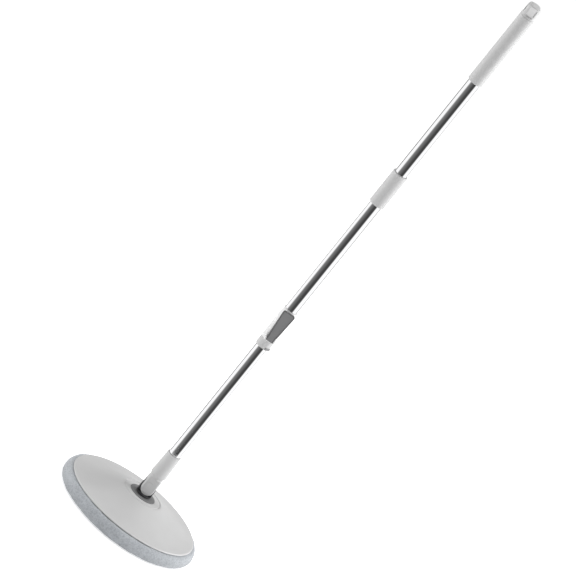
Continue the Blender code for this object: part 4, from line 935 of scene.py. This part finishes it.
carve(lever, rod("lever_bore", LEVER_PIN_HOLE, -0.02, 0.02, place=(PIVOT_Y, PIVOT_Z), axis="X"))
soften(lever, 0.0003, segments=2, angle=38)
# Painted shade: the lever body and rim take the darker grey, and only the sunk field keeps the lighter one.
hand_over(lever, lever_rim_painted_shade, "lever", "mid_grey_plastic", "lever")
lever.data.materials.append(lever_grey)
sunk = 0
for face in lever.data.polygons:
    deep = (face.center - start).dot(outward)
    if abs(deep + SUNK) < 0.0001 and face.normal.dot(outward) > 0.9:
        face.material_index = 1
        sunk += 1
print("sunk field faces:", sunk)

# %% [markdown]
# ## Pieces kept from the frame
# The drive, the screws and the pins already have the right shapes, so they keep the frame's meshes and only get
# the finishes above: zinc-plated steel, natural nylon, black plastic, and a hook tape under the pad.

# %% Finishes for the kept pieces
KEPT = {
    plated_steel: ["spiral_rod", "rod_stop", "lever_pin", "clutch_spring", "ferrule_screw", "tilt_pin", "pin_clip",
                   "pivot_screw_1", "pivot_screw_2"] + [f"plate_screw_{i}" for i in range(1, 7)],
    nylon: ["joiner_stud", "joiner_socket", "rod_anchor", "guide_bush", "clamp_shoe", "drive_nut", "ratchet_cup",
            "pad_plate"],
    black: ["nut_carrier"],
    hook_tape: [f"hook_tape_{i}" for i in range(1, 7)],
}
for finish, names in KEPT.items():
    for name in names:
        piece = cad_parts[name]
        for place in piece.material_slots:
            place.material = finish
        if not piece.material_slots:
            piece.data.materials.append(finish)
    print(finish.name, "on", len(names), "pieces")

# %% [markdown]
# ## Stage and light
# The floor is plain and pale. Bright steel shows only what stands round it, so the mop stands inside a ring of
# glowing board whose brightness changes with the angle from the camera: a dark stretch in front draws the dark
# stripe down each tube, and two narrow ones behind draw the thin lines at its edges. One band of the ring is turned
# a little, so the middle tube's stripe isn't quite in line with the others. The ring shows in glossy surfaces only.

# %% Floor
drop_selection()
bpy.ops.mesh.primitive_plane_add(size=60, location=(0, 0, -0.0002))
floor = bpy.context.object
floor.name = "studio_floor"
floor_white, tree, shader = new_finish("pale_floor", Roughness=0.9, Specular_IOR_Level=0.1)
shader.inputs["Base Color"].default_value = (0.93, 0.93, 0.935, 1)
shader.inputs["Emission Color"].default_value = (1, 1, 1, 1)
shader.inputs["Emission Strength"].default_value = 0.52
floor.data.materials.append(floor_white)

# %% Ring of boards
RING = 0.45
RING_HEIGHT = 1.75
BAND = (0.335, 0.345, 0.675, 0.685)
BAND_TURN = math.radians(12)
WHOLE_TURN = math.radians(6)
# Degrees round the ring from the camera, and the brightness there.
STOPS = [(-180, 0.5), (-155, 0.14), (-139, 0.05), (-133, 0.4), (-126, 1.05), (-70, 1.08), (-59, 0.60),
         (-49, 0.26), (-34, 0.18), (-14, 0.135), (4, 0.085), (16, 0.058), (34, 0.058), (46, 0.085), (54, 0.7),
         (62, 1.1), (130, 1.1), (137, 0.7), (143, 0.3), (160, 0.4), (180, 0.6)]
drop_selection()
bpy.ops.mesh.primitive_cylinder_add(vertices=96, radius=RING, depth=RING_HEIGHT, end_fill_type="NOTHING",
                                    location=(0, 0, RING_HEIGHT / 2 - 0.05))
bpy.ops.object.transform_apply(location=True)
boards = bpy.context.object
boards.name = "ring_of_boards"
glow = bpy.data.materials.new("board_glow")
glow.use_nodes = True
tree = glow.node_tree
tree.nodes.clear()
where = put(tree, "ShaderNodeTexCoord")
parts = put(tree, "ShaderNodeSeparateXYZ")
tree.links.new(where.outputs["Object"], parts.inputs[0])
front = put(tree, "ShaderNodeMath", {1: -1.0}, operation="MULTIPLY")
tree.links.new(parts.outputs["Y"], front.inputs[0])
angle = put(tree, "ShaderNodeMath", operation="ARCTAN2")
tree.links.new(parts.outputs["X"], angle.inputs[0])
tree.links.new(front.outputs[0], angle.inputs[1])
rise = remap(tree, parts.outputs["Z"], BAND[0], BAND[1], 0, 1)
fall = remap(tree, parts.outputs["Z"], BAND[2], BAND[3], 1, 0)
band = put(tree, "ShaderNodeMath", operation="MULTIPLY")
tree.links.new(rise, band.inputs[0])
tree.links.new(fall, band.inputs[1])
shift = put(tree, "ShaderNodeMath", {1: BAND_TURN, 2: -AZIMUTH - WHOLE_TURN}, operation="MULTIPLY_ADD")
tree.links.new(band.outputs[0], shift.inputs[0])
turned = put(tree, "ShaderNodeMath", operation="ADD")
tree.links.new(angle.outputs[0], turned.inputs[0])
tree.links.new(shift.outputs[0], turned.inputs[1])
wrapped = put(tree, "ShaderNodeMath", {1: math.pi, 2: -math.pi}, operation="WRAP")
tree.links.new(turned.outputs[0], wrapped.inputs[0])
ramp = put(tree, "ShaderNodeValToRGB")
tree.links.new(remap(tree, wrapped.outputs[0], -math.pi, math.pi, 0, 1), ramp.inputs[0])
elements = ramp.color_ramp.elements
for number, (degrees, bright) in enumerate(STOPS):
    place = degrees / 360 + 0.5
    stop = elements[number] if number < 2 else elements.new(place)
    stop.position = place
    stop.color = (bright, bright, bright, 1)
light = put(tree, "ShaderNodeEmission")
tree.links.new(ramp.outputs[0], light.inputs[0])
end = put(tree, "ShaderNodeOutputMaterial")
tree.links.new(light.outputs[0], end.inputs[0])
boards.data.materials.append(glow)
boards.visible_camera = boards.visible_diffuse = boards.visible_shadow = boards.visible_transmission = False
print("boards:", len(STOPS), "brightness stops round the ring")


# %% Soft lights
LAMP_DISTANCE, LAMP_HEIGHT = 2.6, 2.2


def soft_box(name, azimuth, elevation, width, watts):
    """A rectangular light that faces the mop, placed by angles measured from the camera's side."""
    a, e = AZIMUTH + math.radians(azimuth), math.radians(elevation)
    away = Vector((math.sin(a) * math.cos(e), -math.cos(a) * math.cos(e), math.sin(e)))
    drop_selection()
    bpy.ops.object.light_add(type="AREA", location=Vector((0, 0, 0.5)) + away * LAMP_DISTANCE)
    lamp = bpy.context.object
    lamp.name = name
    lamp.rotation_mode = "QUATERNION"
    lamp.rotation_quaternion = away.to_track_quat("Z", "Y")
    lamp.data.shape = "RECTANGLE"
    lamp.data.size, lamp.data.size_y = width, LAMP_HEIGHT
    lamp.data.energy = watts
    return lamp


soft_box("right_light", 108, 24, 1.8, 58)
soft_box("left_light", -100, 22, 1.8, 26)
soft_box("top_light", 150, 75, 2.2, 14)
world = bpy.data.worlds.new("studio_air")
world.use_nodes = True
world.node_tree.nodes["Background"].inputs["Color"].default_value = (1, 1, 1, 1)
world.node_tree.nodes["Background"].inputs["Strength"].default_value = 0.46
bpy.context.scene.world = world
